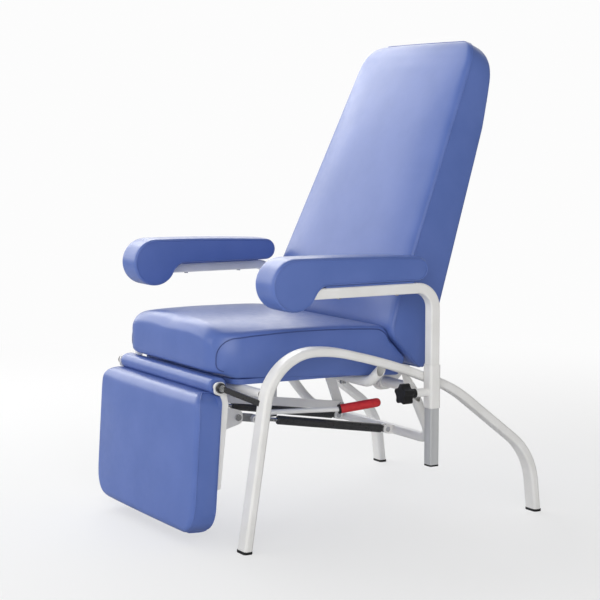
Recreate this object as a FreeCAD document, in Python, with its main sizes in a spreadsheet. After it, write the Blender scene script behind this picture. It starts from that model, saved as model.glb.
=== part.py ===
"""Reclining clinic armchair: tubular frame, synchronised back and leg rest, sliding armrests."""
import FreeCAD, Part
import math
import os

import Sketcher
from FreeCAD import Placement, Rotation, Vector

# Driving sizes in millimetres and degrees. X is the sitter's left, the chair faces -Y, Z is up.
SIZES = {
    # Side arches
    "arch_x": 349.0,
    "arch_width": 40.0,
    "arch_depth": 21.0,
    "arch_corner": 7.0,
    "arch_wall": 1.5,
    "front_foot_y": -371.5,
    "front_knee_y": -302.0,
    "front_knee_z": 445.0,
    "rail_front_y": -145.5,
    "rail_front_z": 442.3,
    "rail_mid_y": 17.5,
    "rail_mid_z": 400.0,
    "rail_rear_y": 194.5,
    "rail_rear_z": 330.6,
    "rear_knee_y": 431.5,
    "rear_knee_z": 149.0,
    "rear_foot_y": 448.5,
    "front_knee_bend": 126.0,
    "rail_front_bend": 370.0,
    "rail_mid_bend": 1500.0,
    "rail_rear_bend": 350.0,
    "rear_knee_bend": 170.0,
    "glide_height": 6.0,
    "glide_insert": 16.0,
    "glide_lip": 0.8,
    # Cross tubes
    "cross_tube_diameter": 25.0,
    "cross_tube_wall": 1.5,
    "front_tube_diameter": 22.0,
    "front_tube_y": -317.0,
    "support_end_y": 8.5,
    "support_drop_y": -7.5,
    "support_run_x": 300.0,
    "support_bend": 45.0,
    "lower_end_y": 57.5,
    "lower_run_x": 285.0,
    "lower_run_y": 184.5,
    "lower_run_z": 193.0,
    "lower_bend": 70.0,
    # Back hinge and mechanism
    "back_axis_z": 336.0,
    "recline_travel": 40.0,
    "legrest_travel": 60.0,
    "bush_wall": 4.5,
    "bush_length": 40.0,
    "bush_x": 200.0,
    "running_clearance": 0.05,
    "body_gap": 0.5,
    "plate_thickness": 6.0,
    "flange_width": 34.0,
    "flange_thickness": 4.0,
    "sync_x": -53.0,
    "sync_crank": 74.0,
    "sync_bar_width": 22.0,
    "sync_bar_thickness": 6.0,
    "pin_diameter": 8.0,
    "bolt_head_diameter": 16.0,
    "bolt_head_height": 6.0,
    # Gas springs
    "spring_x": 117.0,
    "spring_eye_y": 158.5,
    "spring_eye_z": 196.0,
    "spring_head_y": -271.5,
    "spring_head_z": 266.0,
    "spring_diameter": 22.0,
    "spring_wall": 2.0,
    "spring_start": 14.0,
    "spring_length": 303.0,
    "rod_diameter": 10.0,
    "rod_inside": 165.0,
    "eye_diameter": 20.0,
    "eye_width": 12.0,
    "lug_thickness": 4.0,
    "head_width": 19.0,
    "head_height": 18.0,
    "head_length": 66.0,
    # Release lever
    "lever_pivot": 46.0,
    "lever_diameter": 12.0,
    "lever_grip_x": 192.0,
    "lever_grip_y": -25.0,
    "lever_grip_z": 273.0,
    "grip_diameter": 20.0,
    "lever_pin": 6.0,
    "lever_hub_width": 14.0,
    "lever_rise_x": 0.0,
    "lever_rise_y": 34.0,
    "lever_rise_z": 13.0,
    "grip_turn_x": 25.0,
    "grip_turn_y": 90.0,
    "grip_turn_z": 12.0,
    "grip_length": 105.0,
    # Leg rest
    "strap_width": 30.0,
    "tube_overhang": 1.0,
    "roll_gap": 3.0,
    "arm_gap": 2.0,
    "legrest_axis_y": -386.5,
    "legrest_axis_z": 364.0,
    "legrest_lean": 3.9,
    "legrest_top_y": -382.5,
    "legrest_top_z": 349.0,
    "legrest_length": 327.0,
    "legrest_half_width": 277.0,
    "legrest_thickness": 56.7,
    "legrest_board": 10.0,
    "hinge_tube_diameter": 16.0,
    "hinge_tube_half": 262.0,
    "hinge_bolt_diameter": 10.0,
    "roll_diameter": 35.0,
    "bracket_thickness": 5.0,
    "arm_eye_diameter": 24.0,
    "arm_bar_height": 13.0,
    "arm_foot_y": -322.0,
    "arm_foot_z": 332.0,
    # Seat
    "seat_board_bottom": 364.5,
    "seat_board_thickness": 12.0,
    "seat_front_y": -389.5,
    "seat_rear_y": 73.5,
    "seat_half_front": 260.0,
    "seat_half_rear": 282.0,
    "seat_corner": 65.0,
    "seat_skirt_slope": 2.3,
    "seat_back_gap": 4.0,
    "seat_side_top": 479.0,
    "seat_crown": 29.0,
    # Back
    "back_lean": 23.1,
    "back_front_y": 42.0,
    "back_front_z": 482.0,
    "back_length": 747.0,
    "back_half_bottom": 307.0,
    "back_half_top": 243.0,
    "back_thickness": 128.0,
    "back_taper": 0.0594,
    "back_panel": 15.0,
    "back_panel_length": 605.0,
    "back_top_corner": 68.0,
    "back_crown": 9.0,
    # Armrests
    "post_y": 111.5,
    "post_width": 28.0,
    "post_depth": 25.0,
    "post_corner": 4.0,
    "post_wall": 1.5,
    "post_bottom": 159.0,
    "post_joint": 330.0,
    "post_run_z": 580.0,
    "post_bend": 50.0,
    "post_front_y": -240.0,
    "plug_thickness": 4.0,
    "sleeve_wall": 2.4,
    "sleeve_clearance": 0.1,
    "sleeve_bottom": 294.0,
    "sleeve_top": 397.0,
    "boss_diameter": 20.0,
    "boss_length": 33.0,
    "knob_z": 332.0,
    "knob_neck": 16.0,
    "knob_thickness": 26.0,
    "knob_diameter": 50.0,
    "stud_diameter": 8.0,
    "pad_x": 359.5,
    "pad_width": 84.0,
    "pad_front_y": -327.0,
    "pad_rear_y": 89.0,
    "pad_top_z": 655.0,
    "pad_thickness": 58.5,
    "pad_drop_radius": 57.0,
    "knob_neck_diameter": 22.0,
    "arm_board_y": -187.0,
    "arm_board_length": 238.0,
    "arm_board_width": 50.0,
    "screw_diameter": 10.0,
}

doc = FreeCAD.newDocument("reclining_armchair")
sheet = doc.addObject("Spreadsheet::Sheet", "Sizes")
for row, (alias, value) in enumerate(SIZES.items(), start=1):
    sheet.set(f"A{row}", alias)
    sheet.set(f"B{row}", str(value))
    sheet.setAlias(f"B{row}", alias)
doc.recompute()

NODES = []
SIDES = {"left": 1.0, "right": -1.0}
X_AXIS = Vector(1, 0, 0)
Y_AXIS = Vector(0, 1, 0)
Z_AXIS = Vector(0, 0, 1)
# Share of a half width that rounds an end without closing its straight side.
ROUND_END = 0.995


def size(alias):
    """Value of one cell of the sheet."""
    return float(sheet.get(alias))


def keep(obj):
    """Mark an object as a sub-part that gets a file of its own."""
    NODES.append(obj)
    return obj


def feature(label, shape):
    """Sub-part whose shape is swept or lofted from the sheet's values."""
    obj = doc.addObject("Part::Feature", label)
    obj.Shape = shape
    return obj


def bind(obj, **expressions):
    """Bind properties of an object to cells of the sheet."""
    for name, text in expressions.items():
        obj.setExpression(name, text)
    return obj


def cylinder(label, radius, height, base, axis):
    """Cylinder whose radius and height are expressions over the sheet."""
    obj = doc.addObject("Part::Cylinder", label)
    bind(obj, Radius=radius, Height=height)
    obj.Placement = Placement(base, Rotation(Z_AXIS, axis))
    return obj


def group(label, objects):
    """Identical pieces that share one sub-part."""
    obj = doc.addObject("Part::Compound", label)
    obj.Links = objects
    return obj


def fused(label, objects):
    obj = doc.addObject("Part::MultiFuse", label)
    obj.Shapes = objects
    return obj


def cut(label, base, tool):
    obj = doc.addObject("Part::Cut", label)
    obj.Base = base
    obj.Tool = tool
    return obj


def corner_arc(before, corner, after, radius):
    """Tangent arc that rounds a corner: start, middle and end points."""
    back = (before - corner).normalize()
    ahead = (after - corner).normalize()
    half = back.getAngle(ahead) / 2
    reach = radius / math.tan(half)
    inward = (back + ahead).normalize()
    middle = corner + inward * (radius / math.sin(half) - radius)
    return corner + back * reach, middle, corner + ahead * reach


def rounded_edges(points, radii, closed=False):
    """Lines and tangent arcs through points; a radius of 0 keeps a sharp corner."""
    count = len(points)
    stops = []
    for i in range(count):
        inner = closed or 0 < i < count - 1
        if inner and radii[i] > 0:
            stops.append(corner_arc(points[i - 1], points[i], points[(i + 1) % count], radii[i]))
        else:
            stops.append((points[i], None, points[i]))
    edges = []
    for i in range(count):
        start, middle, end = stops[i]
        if middle is not None:
            edges.append(Part.Arc(start, middle, end))
        if closed or i < count - 1:
            follow = stops[(i + 1) % count][0]
            if (follow - end).Length > 1e-6:
                edges.append(Part.LineSegment(end, follow))
    return edges


def wire(edges):
    return Part.Wire([edge.toShape() for edge in edges])


def rectangle_wire(centre, across, up, width, depth, corner):
    """Rounded rectangle, width along across and depth along up."""
    a = across * (width / 2)
    b = up * (depth / 2)
    points = [centre - a - b, centre + a - b, centre + a + b, centre - a + b]
    return wire(rounded_edges(points, [corner] * 4, closed=True))


def sweep(path, profile):
    return path.makePipeShell([profile], True, False)


def round_tube(points, radii, diameter, wall):
    """Bent round tube, hollow, with its filled outside for coping other tubes."""
    path = wire(rounded_edges(points, radii))
    along = points[1] - points[0]
    outer = sweep(path, Part.Wire(Part.makeCircle(diameter / 2, points[0], along)))
    inner = sweep(path, Part.Wire(Part.makeCircle(diameter / 2 - wall, points[0], along)))
    return outer.cut(inner), outer


def sketch_body(label, role, offset_expression, edges, holes=()):
    """Body with one sketch on an origin plane; holes are (centre, radius expression)."""
    body = doc.addObject("PartDesign::Body", label)
    sketch = body.newObject("Sketcher::SketchObject", label + "_outline")
    plane = next(item for item in body.Origin.OriginFeatures if item.Role == role)
    sketch.AttachmentSupport = [(plane, "")]
    sketch.MapMode = "FlatFace"
    sketch.setExpression(".AttachmentOffset.Base.z", offset_expression)
    sketch.addGeometry(edges, False)
    for centre, radius in holes:
        index = sketch.addGeometry(Part.Circle(centre, Z_AXIS, 1.0), False)
        rule = sketch.addConstraint(Sketcher.Constraint("Radius", index, 1.0))
        sketch.setExpression(f"Constraints[{rule}]", radius)
    return body, sketch


def pad(body, sketch, length_expression, reverse=False):
    obj = body.newObject("PartDesign::Pad", sketch.Name + "_pad")
    obj.Profile = sketch
    obj.setExpression("Length", length_expression)
    obj.Reversed = reverse
    return obj


def turned(label, outline, radii, placement):
    """Body turned about its own Z axis; the outline gives radius and height."""
    body = doc.addObject("PartDesign::Body", label)
    sketch = body.newObject("Sketcher::SketchObject", label + "_profile")
    plane = next(item for item in body.Origin.OriginFeatures if item.Role == "XZ_Plane")
    sketch.AttachmentSupport = [(plane, "")]
    sketch.MapMode = "FlatFace"
    points = [Vector(radius, height, 0) for radius, height in outline]
    sketch.addGeometry(rounded_edges(points, radii, closed=True), False)
    turn = body.newObject("PartDesign::Revolution", label + "_turn")
    turn.Profile = sketch
    turn.ReferenceAxis = (sketch, ["V_Axis"])
    turn.Angle = 360.0
    body.Placement = placement
    return body


def plate(label, outline, radii, x_low, thickness, holes=()):
    """Flat plate in a Y-Z plane; x_low and thickness are expressions over the sheet."""
    points = [Vector(y, z, 0) for y, z in outline]
    places = [(Vector(y, z, 0), radius) for (y, z), radius in holes]
    edges = rounded_edges(points, radii, closed=True)
    body, sketch = sketch_body(label, "YZ_Plane", x_low, edges, places)
    pad(body, sketch, thickness)
    return body


def stadium(start, end, radius):
    """Outline with round ends from one Y-Z point to another, and its corner radii."""
    along = Vector(end[0] - start[0], end[1] - start[1], 0).normalize()
    side = Vector(-along.y, along.x, 0)
    a = Vector(start[0], start[1], 0) - along * radius
    b = Vector(end[0], end[1], 0) + along * radius
    corners = [a - side * radius, b - side * radius, b + side * radius, a + side * radius]
    return [(c.x, c.y) for c in corners], [radius * ROUND_END] * 4


def tilted_box(label, origin, tilt, x_length, y_length, z_length):
    """Box whose X stays level, turned about X by tilt degrees at its origin corner."""
    box = doc.addObject("Part::Box", label)
    bind(box, Length=x_length, Width=y_length, Height=z_length)
    box.Placement = Placement(origin, Rotation(X_AXIS, tilt))
    return box


def section(edges, place):
    """Closed wire from 2-point lines and 3-point arcs, mapped into space by place."""
    shapes = []
    for points in edges:
        ends = [place(*point) for point in points]
        curve = Part.LineSegment(*ends) if len(ends) == 2 else Part.Arc(*ends)
        shapes.append(curve.toShape())
    return Part.Wire(shapes)


def loft(sections):
    """Solid through the sections with straight rulings, so the form never swells between them."""
    return Part.makeLoft(sections, True, True)


# Places that several sub-parts share.
def arch_corners():
    """Corners of the side arch's centre line in Y and Z, from front foot to rear foot."""
    names = ("front_knee", "rail_front", "rail_mid", "rail_rear", "rear_knee")
    corners = [(size(name + "_y"), size(name + "_z")) for name in names]
    return [(size("front_foot_y"), 0.0)] + corners + [(size("rear_foot_y"), 0.0)]


def rail_height(y):
    """Height of the arch's rail at a place along its length."""
    corners = arch_corners()[1:-1]
    for (y0, z0), (y1, z1) in zip(corners, corners[1:]):
        if y <= y1:
            return z0 + (z1 - z0) * (y - y0) / (y1 - y0)
    return corners[-1][1]


def back_axis():
    """Back hinge axis: the rear cross tube lies on the arms of the lower tube."""
    high = rail_height(size("lower_end_y"))
    share = (high - size("back_axis_z")) / (high - size("lower_run_z"))
    y = size("lower_end_y") + (size("lower_run_y") - size("lower_end_y")) * share
    x = size("arch_x") + (size("lower_run_x") - size("arch_x")) * share
    return x, y, size("back_axis_z")


def swing(radius, degrees, centre):
    """Point below a Y-Z centre, swung rearward by an angle."""
    turn = math.radians(degrees)
    return centre[0] + radius * math.sin(turn), centre[1] - radius * math.cos(turn)


def sleeve_outset():
    """How far the clamp sleeve's outside stands from the post's centre line, across the chair."""
    return size("post_width") / 2 + size("sleeve_clearance") + size("sleeve_wall")


# Each armrest post stands in a sleeve that lies against the outer face of its rail.
POST_X = size("arch_x") + size("arch_width") / 2 + sleeve_outset()
LEGREST_AXIS = (size("legrest_axis_y"), size("legrest_axis_z"))
BACK_X, BACK_Y, BACK_Z = back_axis()
SPRING_EYE = Vector(0, size("spring_eye_y"), size("spring_eye_z"))
SPRING_HEAD = Vector(0, size("spring_head_y"), size("spring_head_z"))
SPRING_SPAN = (SPRING_HEAD - SPRING_EYE).Length
SPRING_ALONG = (SPRING_HEAD - SPRING_EYE).normalize()
SPRING_UP = X_AXIS.cross(SPRING_ALONG) * -1.0
# The rod that joins the back to the leg rest moves by the same chord at both ends.
SYNC_HALF_BACK = size("recline_travel") / 2
SYNC_HALF_LEG = size("legrest_travel") / 2
SYNC_LEVER = (size("sync_crank") * math.sin(math.radians(SYNC_HALF_LEG))
              / math.sin(math.radians(SYNC_HALF_BACK)))
SYNC_BACK = swing(SYNC_LEVER, SYNC_HALF_BACK, (BACK_Y, BACK_Z))
SYNC_LEG = swing(size("sync_crank"), SYNC_HALF_LEG, LEGREST_AXIS)
TUBE_RADIUS = size("cross_tube_diameter") / 2
SEAT_TUBE_Z = size("seat_board_bottom") - TUBE_RADIUS
BUSH_RADIUS = "Sizes.cross_tube_diameter / 2 + Sizes.running_clearance + Sizes.bush_wall"
PIN = "Sizes.pin_diameter / 2"
PIN_HOLE = "Sizes.pin_diameter / 2 + Sizes.running_clearance"


# Stations along the leg rest's hinge, all told from the end of its tube.
BRACKET_X = size("hinge_tube_half") - size("tube_overhang") - size("bracket_thickness")
ROLL_HALF = BRACKET_X - size("roll_gap")
ARM_EYE_X = size("hinge_tube_half") + size("arm_gap")


def legrest_point(x, down, forward):
    """Point in the leg rest's own frame: down its face and forward from its board's rear face."""
    lean = math.radians(size("legrest_lean"))
    y = size("legrest_top_y") - down * math.sin(lean) - forward * math.cos(lean)
    z = size("legrest_top_z") - down * math.cos(lean) + forward * math.sin(lean)
    return Vector(x, y, z)


def legrest_yz(down, forward):
    point = legrest_point(0, down, forward)
    return point.y, point.z


def back_point(x, up, depth):
    """Point in the back's own frame: up its front face and rearward from it."""
    lean = math.radians(size("back_lean"))
    y = size("back_front_y") + up * math.sin(lean) + depth * math.cos(lean)
    z = size("back_front_z") + up * math.cos(lean) - depth * math.sin(lean)
    return Vector(x, y, z)


def back_depth(up):
    """Thickness of the back at a height along it."""
    return size("back_thickness") - size("back_taper") * up


# Lower front edge of the back as height up its face and depth behind it, from the top down.
BACK_FOOT = ((60.0, 0.0), (-18.0, 18.0), (-60.0, 106.0))
BACK_BOTTOM = BACK_FOOT[-1][0]
REAR_ORIGIN = back_point(0, BACK_BOTTOM, back_depth(BACK_BOTTOM))
REAR_LEAN = size("back_lean") - math.degrees(math.atan(size("back_taper")))


def rear_point(x, up, out):
    """Point on the rear face of the back panel, standing out from it by out."""
    lean = math.radians(REAR_LEAN)
    y = REAR_ORIGIN.y + up * math.sin(lean) + out * math.cos(lean)
    z = REAR_ORIGIN.z + up * math.cos(lean) - out * math.sin(lean)
    return Vector(x, y, z)


def rear_yz(up, out):
    point = rear_point(0, up, out)
    return point.y, point.z


# Side arches and their glides
def arch_path(x):
    """Centre line of a side arch, run on below the floor at both feet."""
    corners = [Vector(x, y, z) for y, z in arch_corners()]
    spare = size("glide_insert")
    first = corners[0] + (corners[0] - corners[1]).normalize() * spare
    last = corners[-1] + (corners[-1] - corners[-2]).normalize() * spare
    points = [first] + corners[1:-1] + [last]
    names = ("front_knee", "rail_front", "rail_mid", "rail_rear", "rear_knee")
    radii = [0.0] + [size(name + "_bend") for name in names] + [0.0]
    return points, radii


def arch_profile(point, ahead, inset):
    up = X_AXIS.cross((ahead - point).normalize())
    return rectangle_wire(point, X_AXIS, up, size("arch_width") - 2 * inset,
                          size("arch_depth") - 2 * inset, size("arch_corner") - inset)


def below_floor_gap(height):
    """Block that takes away everything lower than a height."""
    reach = 4 * size("arch_x")
    return Part.makeBox(reach, reach, reach, Vector(-reach / 2, -reach / 2, height - reach))


def make_arch(name, side):
    points, radii = arch_path(side * size("arch_x"))
    path = wire(rounded_edges(points, radii))
    outer = sweep(path, arch_profile(points[0], points[1], 0.0))
    inner = sweep(path, arch_profile(points[0], points[1], size("arch_wall")))
    tube = outer.cut(inner).cut(below_floor_gap(size("glide_height")))
    keep(feature(f"side_arch_{name}", tube))
    return feature(f"arch_outside_{name}", outer)


def make_glide(foot, knee):
    """Plastic glide: a sole on the floor and an insert inside the tube's end."""
    lip = size("glide_lip")
    lean = (knee - foot).normalize()
    depth = size("arch_depth") / lean.z
    sole_wire = rectangle_wire(foot, X_AXIS, Y_AXIS, size("arch_width") + 2 * lip, depth + 2 * lip,
                               size("arch_corner"))
    sole = Part.Face(sole_wire).extrude(Vector(0, 0, size("glide_height")))
    inset = size("arch_wall") + size("running_clearance")
    start = foot - lean * size("glide_insert")
    core = Part.Face(arch_profile(start, foot, inset)).extrude(lean * (GLIDE_CORE * size("glide_insert")))
    return sole.fuse(core.cut(below_floor_gap(size("glide_height")))).removeSplitter()


# Length of a glide's core, as a share of its insert.
GLIDE_CORE = 2.5
arch_outsides = [make_arch(name, side) for name, side in SIDES.items()]
glides = []
for side in SIDES.values():
    corners = [Vector(side * size("arch_x"), y, z) for y, z in arch_corners()]
    glides.append(make_glide(corners[0], corners[1]))
    glides.append(make_glide(corners[-1], corners[-2]))
keep(feature("foot_glides", Part.makeCompound(glides)))
arch_tools = group("arch_outsides", arch_outsides)
doc.recompute()


# Cross tubes
def straight_tube(label, diameter, wall, half_length, y, z):
    """Level tube across the chair, before its ends are coped."""
    start = Vector(-half_length, y, z)
    span = str(2 * half_length)
    outer = cylinder(label + "_outside", f"{diameter} / 2", span, start, X_AXIS)
    inner = cylinder(label + "_bore", f"{diameter} / 2 - {wall}", span, start, X_AXIS)
    return cut(label + "_blank", outer, inner)


def make_bent_tube(label, points, radii):
    tube, outside = round_tube(points, radii, size("cross_tube_diameter"), size("cross_tube_wall"))
    coped = tube.common(between_rails()).cut(arch_tools.Shape)
    keep(feature(label, coped))
    return feature(label + "_outside", outside)


def between_rails():
    """Space between the side arches, up to where their inner corners start to turn."""
    half = size("arch_x") - size("arch_width") / 2 + size("arch_corner") / 2
    reach = 4 * size("arch_x")
    return Part.makeBox(2 * half, reach, reach, Vector(-half, -reach / 2, 0))


def u_points(end_y, run_x, run_y, run_z):
    """Corners of a U tube that hangs between the two rails."""
    end_x = size("arch_x")
    end_z = rail_height(end_y)
    return [Vector(end_x, end_y, end_z), Vector(run_x, run_y, run_z),
            Vector(-run_x, run_y, run_z), Vector(-end_x, end_y, end_z)]


FRONT_TUBE_Z = size("seat_board_bottom") - size("front_tube_diameter") / 2
blank = straight_tube("front_cross_tube", "Sizes.front_tube_diameter", "Sizes.cross_tube_wall",
                      size("arch_x") - size("arch_width") / 2 + size("arch_corner") / 2,
                      size("front_tube_y"), FRONT_TUBE_Z)
keep(cut("front_cross_tube", blank, arch_tools))
support_points = u_points(size("support_end_y"), size("support_run_x"), size("support_drop_y"), SEAT_TUBE_Z)
support_radii = [0, size("support_bend"), size("support_bend"), 0]
support_outside = make_bent_tube("seat_support_tube", support_points, support_radii)
lower_points = u_points(size("lower_end_y"), size("lower_run_x"), size("lower_run_y"), size("lower_run_z"))
lower_radii = [0, size("lower_bend"), size("lower_bend"), 0]
lower_outside = make_bent_tube("lower_u_tube", lower_points, lower_radii)
blank = straight_tube("rear_cross_tube", "Sizes.cross_tube_diameter", "Sizes.cross_tube_wall",
                      BACK_X - size("cross_tube_wall") * 2, BACK_Y, BACK_Z)
keep(cut("rear_cross_tube", blank, lower_outside))


# Seat
def half_width(y):
    """Half the seat's width at a place along its depth."""
    share = (y - size("seat_front_y")) / (size("seat_rear_y") - size("seat_front_y"))
    return size("seat_half_front") + share * (size("seat_half_rear") - size("seat_half_front"))


def make_seat_board():
    front = size("seat_front_y") + BOARD_FRONT_SETBACK
    rear = size("seat_rear_y") - BOARD_REAR_SETBACK
    corners = [(-half_width(front), front), (half_width(front), front),
               (half_width(rear), rear), (-half_width(rear), rear)]
    points = [Vector(x - math.copysign(BOARD_SIDE_SETBACK, x), y, 0) for x, y in corners]
    edges = rounded_edges(points, [BOARD_CORNER] * 4, closed=True)
    body, sketch = sketch_body("seat_board", "XY_Plane", "Sizes.seat_board_bottom", edges)
    pad(body, sketch, "Sizes.seat_board_thickness")
    return keep(body)


def back_limit(z):
    """How far back the seat may reach at a height: a gap in front of the back's lower edge."""
    rows = [back_point(0, up, depth) for up, depth in BACK_FOOT]
    for high, low in zip(rows, rows[1:]):
        if z >= low.z:
            break
    share = (z - low.z) / (high.z - low.z)
    return low.y + share * (high.y - low.y) - size("seat_back_gap")


def front_setback(share):
    """How far the round front corner draws the seat's front edge back."""
    radius = size("seat_corner")
    reach = max(0.0, share * size("seat_half_front") - size("seat_half_front") + radius)
    return radius - math.sqrt(radius ** 2 - min(reach, radius) ** 2)


def seat_bottom(y):
    """The cover's lower edge drops towards the rear, past the board."""
    low = size("seat_board_bottom") + size("seat_board_thickness")
    return low - (y - size("front_tube_y")) * math.tan(math.radians(size("seat_skirt_slope")))


def seat_profile(share, inset):
    """Side profile of the seat at a share of its half width, as lines and arcs in Y and Z."""
    front = size("seat_front_y") + front_setback(abs(share))
    top = size("seat_side_top") + size("seat_crown") * (1 - share ** 2) - inset
    toe = SEAT_TOE_RADIUS
    nose = SEAT_NOSE_RADIUS
    knee = 1 - math.sqrt(0.5)
    lip_y = front + SEAT_LIP
    lip = (lip_y, seat_bottom(lip_y) + inset)
    toe_start = (front + toe, lip[1] + SEAT_LIP_RISE)
    toe_end = (front, toe_start[1] + toe)
    toe_mid = (front + toe * knee, toe_start[1] + toe * knee)
    nose_mid = (front + nose * knee, top - nose * knee)
    top_start = (front + nose, top)
    rear_z = top - SEAT_REAR_DROP
    rear_top = (back_limit(rear_z) - inset, rear_z)
    top_mid = ((top_start[0] + rear_top[0]) / 2, (top_start[1] + rear_top[1]) / 2 + SEAT_TOP_SWELL)
    bend_z = min(back_point(0, *BACK_FOOT[1]).z, rear_z - SEAT_BEVEL)
    bend = (back_limit(bend_z) - inset, bend_z)
    heel_z = back_point(0, *BACK_FOOT[2]).z + SEAT_HEEL
    heel = (back_limit(heel_z) - inset, heel_z)
    tail_y = heel[0] - SEAT_HEEL
    tail = (tail_y, seat_bottom(tail_y) + inset)
    return [
        (tail, lip),
        (lip, toe_start),
        (toe_start, toe_mid, toe_end),
        (toe_end, (front, top - nose)),
        ((front, top - nose), nose_mid, top_start),
        (top_start, top_mid, rear_top),
        (rear_top, bend),
        (bend, heel),
        (heel, tail),
    ]


def make_seat_cushion(board, tube_outside):
    """Foam and cover in one, open below for the board and the support tube."""
    sections = []
    for share, inset in SEAT_SECTIONS:
        place = lambda y, z, share=share: Vector(share * half_width(y), y, z)
        sections.append(section(seat_profile(share, inset), place))
    doc.recompute()
    pocket = board.Shape.copy()
    pocket.translate(Z_AXIS * -size("seat_board_thickness"))
    cushion = loft(sections).cut(board.Shape).cut(pocket).cut(tube_outside.Shape)
    return keep(feature("seat_cushion", cushion))


def make_seat_bolts():
    heads = []
    places = ((size("front_tube_y"), size("front_tube_diameter")),
              (size("support_drop_y"), size("cross_tube_diameter")))
    for y, diameter in places:
        for side in SIDES.values():
            base = Vector(side * SEAT_BOLT_X, y, size("seat_board_bottom") - diameter)
            heads.append(cylinder("seat_bolt", "Sizes.bolt_head_diameter / 2", "Sizes.bolt_head_height",
                                  base, Z_AXIS * -1))
    return keep(group("seat_bolts", heads))


BOARD_FRONT_SETBACK = 50.0
BOARD_REAR_SETBACK = 18.0
BOARD_SIDE_SETBACK = 14.0
BOARD_CORNER = 30.0
SEAT_TOE_RADIUS = 16.0
# The underside rises from the board to the front edge over this length and by this height.
SEAT_LIP = 48.0
SEAT_LIP_RISE = 12.0
SEAT_NOSE_RADIUS = 46.0
SEAT_BEVEL = 5.0
SEAT_REAR_DROP = 11.0
SEAT_TOP_SWELL = 6.0
SEAT_HEEL = 16.0
SEAT_BOLT_X = 180.0
SEAT_HALF_SECTIONS = ((1.0, 9.0), (0.97, 2.0), (0.92, 0.5), (0.84, 0.0), (0.7, 0.0), (0.4, 0.0))
SEAT_SECTIONS = ([(-share, inset) for share, inset in SEAT_HALF_SECTIONS] + [(0.0, 0.0)]
                 + [(share, inset) for share, inset in reversed(SEAT_HALF_SECTIONS)])
make_seat_cushion(make_seat_board(), support_outside)
make_seat_bolts()


# Back
def pillow(half, front, rear, crown, corner):
    """Section of a padded back or pad: flat rear, round front corners and a crowned front."""
    knee = corner * (1 - math.sqrt(0.5))
    shoulder = front + corner
    side = (shoulder + rear) / 2
    return [
        ((-half, rear), (half, rear)),
        ((half, rear), (half + SIDE_SWELL, side), (half, shoulder)),
        ((half, shoulder), (half - knee, front + knee), (half - corner, front)),
        ((half - corner, front), (0.0, front - crown), (corner - half, front)),
        ((corner - half, front), (knee - half, front + knee), (-half, shoulder)),
        ((-half, shoulder), (-half - SIDE_SWELL, side), (-half, rear)),
    ]


def back_half(up):
    share = up / size("back_length")
    return size("back_half_bottom") + share * (size("back_half_top") - size("back_half_bottom"))


def top_inset(below_top):
    """How far the round top corners draw the back's sides in, at a distance below its top."""
    radius = size("back_top_corner")
    rise = max(0.0, radius - below_top)
    return radius - math.sqrt(radius ** 2 - rise ** 2)


def make_back_cushion(panel):
    """Foam and cover in one, round the panel's edges: a slanted foot, straight sides and a round top."""
    length = size("back_length")
    crown = size("back_crown")
    rows = []
    for (up, front), bulge in zip(reversed(BACK_FOOT), BACK_FOOT_CROWN):
        rows.append((up, back_half(up), front, back_depth(up), crown * bulge))
    for share in BACK_STATIONS:
        up = length * share
        rows.append((up, back_half(up), 0.0, back_depth(up), crown))
    for below, front, behind, bulge in BACK_TOP_ROWS:
        up = length - below
        rows.append((up, back_half(up) - top_inset(below), front, behind, crown * bulge))
    sections = []
    for up, half, front, behind, bulge in rows:
        corner = min(BACK_CORNER, (behind - front) / 3)
        place = lambda x, depth, up=up: back_point(x, up, depth)
        sections.append(section(pillow(half, front, behind, bulge, corner), place))
    doc.recompute()
    return keep(feature("back_cushion", loft(sections).cut(panel.Shape)))


def make_back_panel():
    top = size("back_panel_length")
    low = back_half(BACK_BOTTOM) - PANEL_SETBACK
    high = back_half(top) - PANEL_SETBACK
    points = [Vector(-low, 0, 0), Vector(low, 0, 0), Vector(high, top, 0), Vector(-high, top, 0)]
    edges = rounded_edges(points, PANEL_CORNERS, closed=True)
    body, sketch = sketch_body("back_panel", "XZ_Plane", "0", edges)
    pad(body, sketch, "Sizes.back_panel")
    body.Placement = Placement(REAR_ORIGIN, Rotation(X_AXIS, -REAR_LEAN))
    return keep(body)


def back_plate_outline():
    """Hinge plate behind the back: round at the axis, then up the panel's rear face."""
    reach = BUSH_EYE
    step = size("flange_thickness")
    outline = [
        (BACK_Y - reach, BACK_Z + reach), (BACK_Y - reach, BACK_Z - reach), (BACK_Y + reach, BACK_Z - reach),
        rear_yz(*PLATE_HEEL), rear_yz(FLANGE_TOP, PLATE_TIP), rear_yz(FLANGE_TOP, step),
        rear_yz(PLATE_TOE, step),
    ]
    radii = [reach * ROUND_END, reach * ROUND_END, *PLATE_RADII]
    return outline, radii


def back_flange(label, x):
    """Strap of the hinge plate that lies on the panel's rear face."""
    origin = rear_point(x - size("flange_width") / 2, FLANGE_BOTTOM, 0.0)
    return tilted_box(label, origin, -REAR_LEAN, "Sizes.flange_width", "Sizes.flange_thickness",
                      str(FLANGE_TOP - FLANGE_BOTTOM))


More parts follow.
